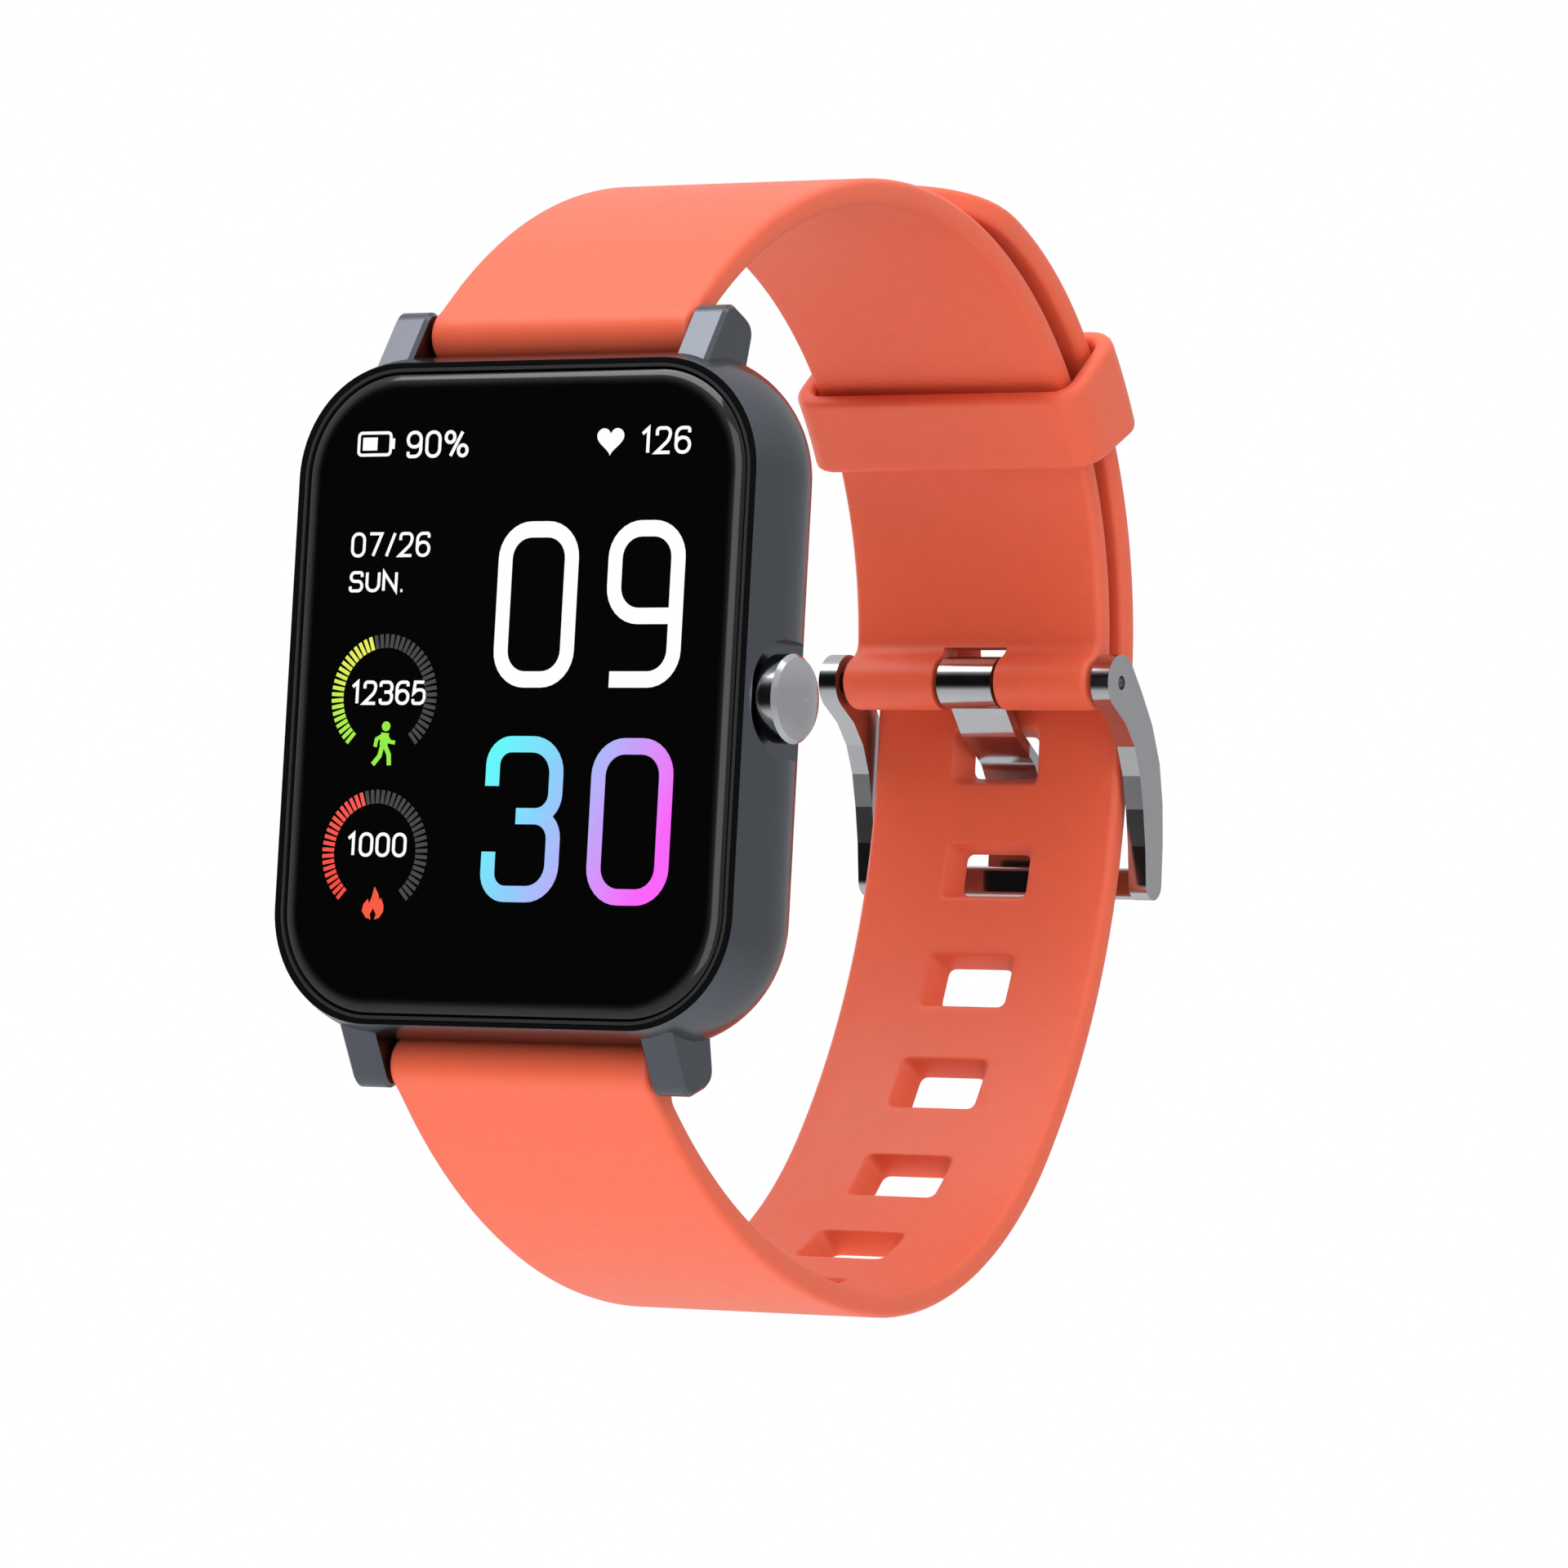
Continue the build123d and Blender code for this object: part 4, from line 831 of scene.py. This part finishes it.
def write_big(name, digit, left, right, top, bottom, finish):
    mesh = bmesh.new()
    half = BIG_STROKE / 2
    for points, closed in BIG_DIGITS[digit]:
        placed = [(left + half + p[0] * (right - left - BIG_STROKE),
                   bottom + half + p[1] * (top - bottom - BIG_STROKE), *p[2:]) for p in points]
        add_stroke(mesh, rounded(placed, BIG_CORNER, closed), BIG_STROKE, closed)
    ink(name, mesh, finish)


GAUGE_TICKS, GAUGE_BEGIN, GAUGE_END = 45, 228.0, -48.0
GAUGE_INNER_R, GAUGE_OUTER_R, GAUGE_TICK_WIDTH = 3.2, 4.1, 0.25


def gauge(name, x, z, lit_share, lit):
    """Ring of short ticks, open at the foot; the first share of it is lit."""
    ticks = {lit: bmesh.new(), GREY: bmesh.new()}
    for i in range(GAUGE_TICKS):
        share = i / (GAUGE_TICKS - 1)
        angle = GAUGE_BEGIN + (GAUGE_END - GAUGE_BEGIN) * share
        line = [Vector(polar((x, z), radius, angle)) for radius in (GAUGE_INNER_R, GAUGE_OUTER_R)]
        add_stroke(ticks[lit if share < lit_share else GREY], line, GAUGE_TICK_WIDTH)
    ink(f"{name}_lit", ticks[lit], lit)
    ink(f"{name}_rest", ticks[GREY], GREY)


def battery_sign(left, right, top, bottom):
    """Outline of a cell with its charge inside and its knob on the right."""
    mesh = bmesh.new()
    inset = 0.3
    add_stroke(mesh, rounded([(left, bottom), (left, top), (right, top), (right, bottom)], 0.25, True), 0.2, True)
    for x0, x1, z0, z1 in ((left + 0.32, left + 1.45, bottom + inset, top - inset),
                           (right + 0.12, right + 0.32, bottom + 0.38, top - 0.38)):
        add_patch(mesh, [(x0, z0), (x1, z0), (x1, z1), (x0, z1)])
    ink("battery_sign", mesh, WHITE)


def heart_sign(x, z):
    mesh = bmesh.new()
    add_patch(mesh, [(x + 0.064 * 16 * sin(t) ** 3,
                      z + 0.062 * (13 * cos(t) - 5 * cos(2 * t) - 2 * cos(3 * t) - cos(4 * t)))
                     for t in (2 * pi * i / 40 for i in range(40))])
    ink("heart_sign", mesh, WHITE)


def walker_sign(x, z):
    """Head, trunk, two arms and two legs: each limb is a line and its width."""
    limbs = (([(0.05, 0.62), (-0.03, -0.2)], 0.6), ([(-0.02, 0.5), (-0.6, 0.2), (-0.68, -0.3)], 0.26),
             ([(0.12, 0.5), (0.42, 0.05), (0.85, -0.02)], 0.26), ([(-0.12, -0.2), (-0.3, -0.9), (-0.8, -1.45)], 0.32),
             ([(0.08, -0.2), (0.42, -0.8), (0.48, -1.5)], 0.32))
    mesh = bmesh.new()
    add_patch(mesh, circle(x + 0.1, z + 1.05, 0.32))
    for line, width in limbs:
        add_stroke(mesh, [Vector((x + px, z + pz)) for px, pz in line], width)
    ink("walker_sign", mesh, GREEN)


def flame_sign(x, z):
    outline = [(-0.5, -0.72), (-0.84, -0.3), (-0.74, 0.15), (-0.42, 0.5), (-0.32, 0.16), (-0.12, 0.6), (0.06, 1.3),
               (0.36, 0.85), (0.5, 0.4), (0.6, 0.58), (0.82, 0.1), (0.82, -0.3), (0.52, -0.72), (0.16, -0.84),
               (0.28, -0.5), (0.02, -0.1), (-0.22, -0.5), (-0.14, -0.84)]
    mesh = bmesh.new()
    add_patch(mesh, [(x + px, z + pz) for px, pz in outline])
    ink("flame_sign", mesh, RED)


# Each text: left, right, top and bottom of its box, and its stroke's width.
write("charge_text", "90%", -9.0, -4.15, 17.15, 15.35, 0.22)
write("pulse_text", "126", 9.0, 12.85, 17.15, 15.35, 0.22)
write("date_text", "07/26", -12.9, -6.7, 10.5, 8.85, 0.2)
write("day_text", "SUN.", -12.9, -8.6, 7.95, 6.55, 0.2)
write("steps_text", "12365", -12.3, -6.4, 0.75, -0.85, 0.21)
write("energy_text", "1000", -11.95, -7.25, -9.2, -10.8, 0.21)
# Each digit: left, right, top and bottom of its box.
write_big("hours_tens", "0", -1.31, 4.82, 11.1, 0.3, WHITE)
write_big("hours_ones", "9", 7.1, 12.9, 11.1, 0.3, WHITE)
write_big("minutes_tens", "3", -1.39, 4.54, -2.85, -13.6, MINUTES)
write_big("minutes_ones", "0", 6.7, 12.87, -2.95, -13.7, MINUTES)
gauge("steps_gauge", -9.65, -0.3, 0.45, STEPS_FADE)
gauge("energy_gauge", -9.7, -10.5, 0.45, FIRE_FADE)
battery_sign(-12.75, -10.25, 17.05, 15.6)
heart_sign(6.75, 16.35)
walker_sign(-9.45, -3.3)
flame_sign(-9.6, -14.05)


# ------------------------------------------------------------------ stage, light and camera

FLOOR_HALF, FLOOR_STEPS = 1500.0, 6
FLOOR_FADE = (60.0, 320.0)  # distances from the watch between which the floor turns white
SKY_RISE, SKY_LEVELS = (0.2, 0.95), (0.54, 0.95)  # slant of a direction, and the light that comes from there
DARK_PATCH, DARK_PATCH_SHARE = (0.78, 0.955), 0.01
LIGHT_TARGET = (0.0, 20.0, 0.0)

# Where the camera stands: it turns round the watch, looks a little upwards and leans.
AZIMUTH, LOOK_UP, LEAN = radians(31.107), radians(4.271), radians(3.042)
CAMERA_DISTANCE = 527.78
CAMERA_SHIFT = (-17.865, 4.742)
CAMERA_TARGET = (0.0, -10.8, -1.2)
SENSOR, LENS = 36.0, 187.48


def make_floor():
    """Wide pale floor under the strap's lowest point. Only the camera meets it, and only from above;
    away from the watch it fades to plain white."""
    mesh = bmesh.new()
    steps = [FLOOR_HALF * (i / FLOOR_STEPS - 1) for i in range(2 * FLOOR_STEPS + 1)]
    grid(mesh, [[(x, y, cad_low.z / MM) for x in steps] for y in steps])
    data = bpy.data.meshes.new("floor")
    bmesh.ops.recalc_face_normals(mesh, faces=mesh.faces)
    mesh.to_mesh(data)
    mesh.free()
    floor = bpy.data.objects.new("floor", data)
    if data.polygons[0].normal.z < 0:
        data.flip_normals()
    bpy.context.scene.collection.objects.link(floor)
    paper = mottled("floor_paper", (0.86, 0.86, 0.86), 0.8, spread=0.01, size=30.0)
    tree = paper.node_tree
    side = tree.nodes.new("ShaderNodeNewGeometry")
    path = tree.nodes.new("ShaderNodeLightPath")
    place = tree.nodes.new("ShaderNodeTexCoord")
    above, shown = add_maths(tree, "SUBTRACT"), add_maths(tree, "MULTIPLY")
    above.inputs[0].default_value = 1.0
    away = add_maths(tree, "LENGTH", "VectorMath")
    fade = add_span(tree, *[distance * MM for distance in FLOOR_FADE], smooth=True)
    clear, plain = tree.nodes.new("ShaderNodeBsdfTransparent"), tree.nodes.new("ShaderNodeEmission")
    spread, choose = tree.nodes.new("ShaderNodeMixShader"), tree.nodes.new("ShaderNodeMixShader")
    connect(tree, (side.outputs["Backfacing"], above.inputs[1]), (above.outputs["Value"], shown.inputs[0]),
            (path.outputs["Is Camera Ray"], shown.inputs[1]), (shown.outputs["Value"], choose.inputs["Fac"]),
            (place.outputs["Object"], away.inputs[0]), (away.outputs["Value"], fade.inputs["Value"]),
            (fade.outputs["Result"], spread.inputs["Fac"]),
            (tree.nodes["Principled BSDF"].outputs["BSDF"], spread.inputs[1]),
            (plain.outputs["Emission"], spread.inputs[2]), (clear.outputs["BSDF"], choose.inputs[1]),
            (spread.outputs["Shader"], choose.inputs[2]),
            (choose.outputs["Shader"], tree.nodes["Material Output"].inputs["Surface"]))
    data.materials.append(paper)


def make_world():
    """White to the camera. As a light it brightens away from the horizon and has a dark patch
    where the display's mirror image would fall, so the glass stays black."""
    world = bpy.data.worlds.new("studio")
    bpy.context.scene.world = world
    world.use_nodes = True
    tree = world.node_tree
    tree.nodes.clear()
    place = tree.nodes.new("ShaderNodeTexCoord")
    rise = tree.nodes.new("ShaderNodeSeparateXYZ")
    slant = add_maths(tree, "ABSOLUTE")
    climb = add_span(tree, *SKY_RISE, *SKY_LEVELS)
    toward = add_maths(tree, "DOT_PRODUCT", "VectorMath")
    toward.inputs[1].default_value = (-sin(AZIMUTH) * cos(LOOK_UP), -cos(AZIMUTH) * cos(LOOK_UP), sin(LOOK_UP))
    patch = add_span(tree, *DARK_PATCH, 1.0, DARK_PATCH_SHARE, smooth=True)
    level = add_maths(tree, "MULTIPLY")
    seen, light = tree.nodes.new("ShaderNodeBackground"), tree.nodes.new("ShaderNodeBackground")
    seen.inputs["Color"].default_value = light.inputs["Color"].default_value = (1.0, 1.0, 1.0, 1.0)
    path = tree.nodes.new("ShaderNodeLightPath")
    choose = tree.nodes.new("ShaderNodeMixShader")
    output = tree.nodes.new("ShaderNodeOutputWorld")
    connect(tree, (place.outputs["Generated"], rise.inputs[0]), (rise.outputs["Z"], slant.inputs[0]),
            (slant.outputs["Value"], climb.inputs["Value"]), (place.outputs["Generated"], toward.inputs[0]),
            (toward.outputs["Value"], patch.inputs["Value"]), (climb.outputs["Result"], level.inputs[0]),
            (patch.outputs["Result"], level.inputs[1]), (level.outputs["Value"], light.inputs["Strength"]),
            (path.outputs["Is Camera Ray"], choose.inputs["Fac"]), (light.outputs["Background"], choose.inputs[1]),
            (seen.outputs["Background"], choose.inputs[2]), (choose.outputs["Shader"], output.inputs["Surface"]))


def softbox(name, azimuth, elevation, distance, width, height, power, mirrored=True):
    """Area light that faces the watch, in degrees, metres and watts. Azimuth 0 is in front of the display and
    90 on the crown's side. Bare metal shows the light only if it's mirrored."""
    data = bpy.data.lights.new(name, "AREA")
    data.shape, data.size, data.size_y, data.energy = "RECTANGLE", width, height, power
    made = bpy.data.objects.new(name, data)
    made.visible_glossy = mirrored
    bpy.context.scene.collection.objects.link(made)
    a, e = radians(azimuth), radians(elevation)
    away = Vector((sin(a) * cos(e), -cos(a) * cos(e), sin(e)))
    made.location = metres(LIGHT_TARGET) + away * distance
    made.rotation_mode = "QUATERNION"
    made.rotation_quaternion = (-away).to_track_quat("-Z", "Y")


def make_camera():
    level = Vector((cos(AZIMUTH), sin(AZIMUTH), 0.0))
    forward = Vector((-sin(AZIMUTH) * cos(LOOK_UP), cos(AZIMUTH) * cos(LOOK_UP), sin(LOOK_UP)))
    upright = level.cross(forward)
    right = level * cos(LEAN) + upright * sin(LEAN)
    up = upright * cos(LEAN) - level * sin(LEAN)
    place = -(right * CAMERA_SHIFT[0] + up * CAMERA_SHIFT[1] + forward * CAMERA_DISTANCE) + Vector(CAMERA_TARGET)
    data = bpy.data.cameras.new("camera")
    data.sensor_width, data.lens, data.clip_start = SENSOR, LENS, 0.01
    camera = bpy.data.objects.new("camera", data)
    bpy.context.scene.collection.objects.link(camera)
    axes = Matrix((right, up, -forward)).transposed()
    camera.matrix_world = Matrix.Translation(place * MM) @ axes.to_4x4()
    bpy.context.scene.camera = camera


make_floor()
make_world()
# Each light: azimuth, elevation, distance, width, height and power.
softbox("key", -22, 60, 0.75, 0.65, 0.45, 3.5)
softbox("top", 75, 72, 0.75, 0.45, 0.45, 0.7)
softbox("front_low", -28, -58, 0.8, 0.8, 0.6, 3.5, mirrored=False)
softbox("front_strip", 16, 2, 0.85, 0.35, 0.9, 1.7)
softbox("right_strip", 72, 4, 0.7, 0.12, 0.8, 1.1)
softbox("left_fill", -105, 10, 0.8, 0.3, 0.6, 1.0)
make_camera()
bpy.context.scene.view_settings.view_transform = "Standard"
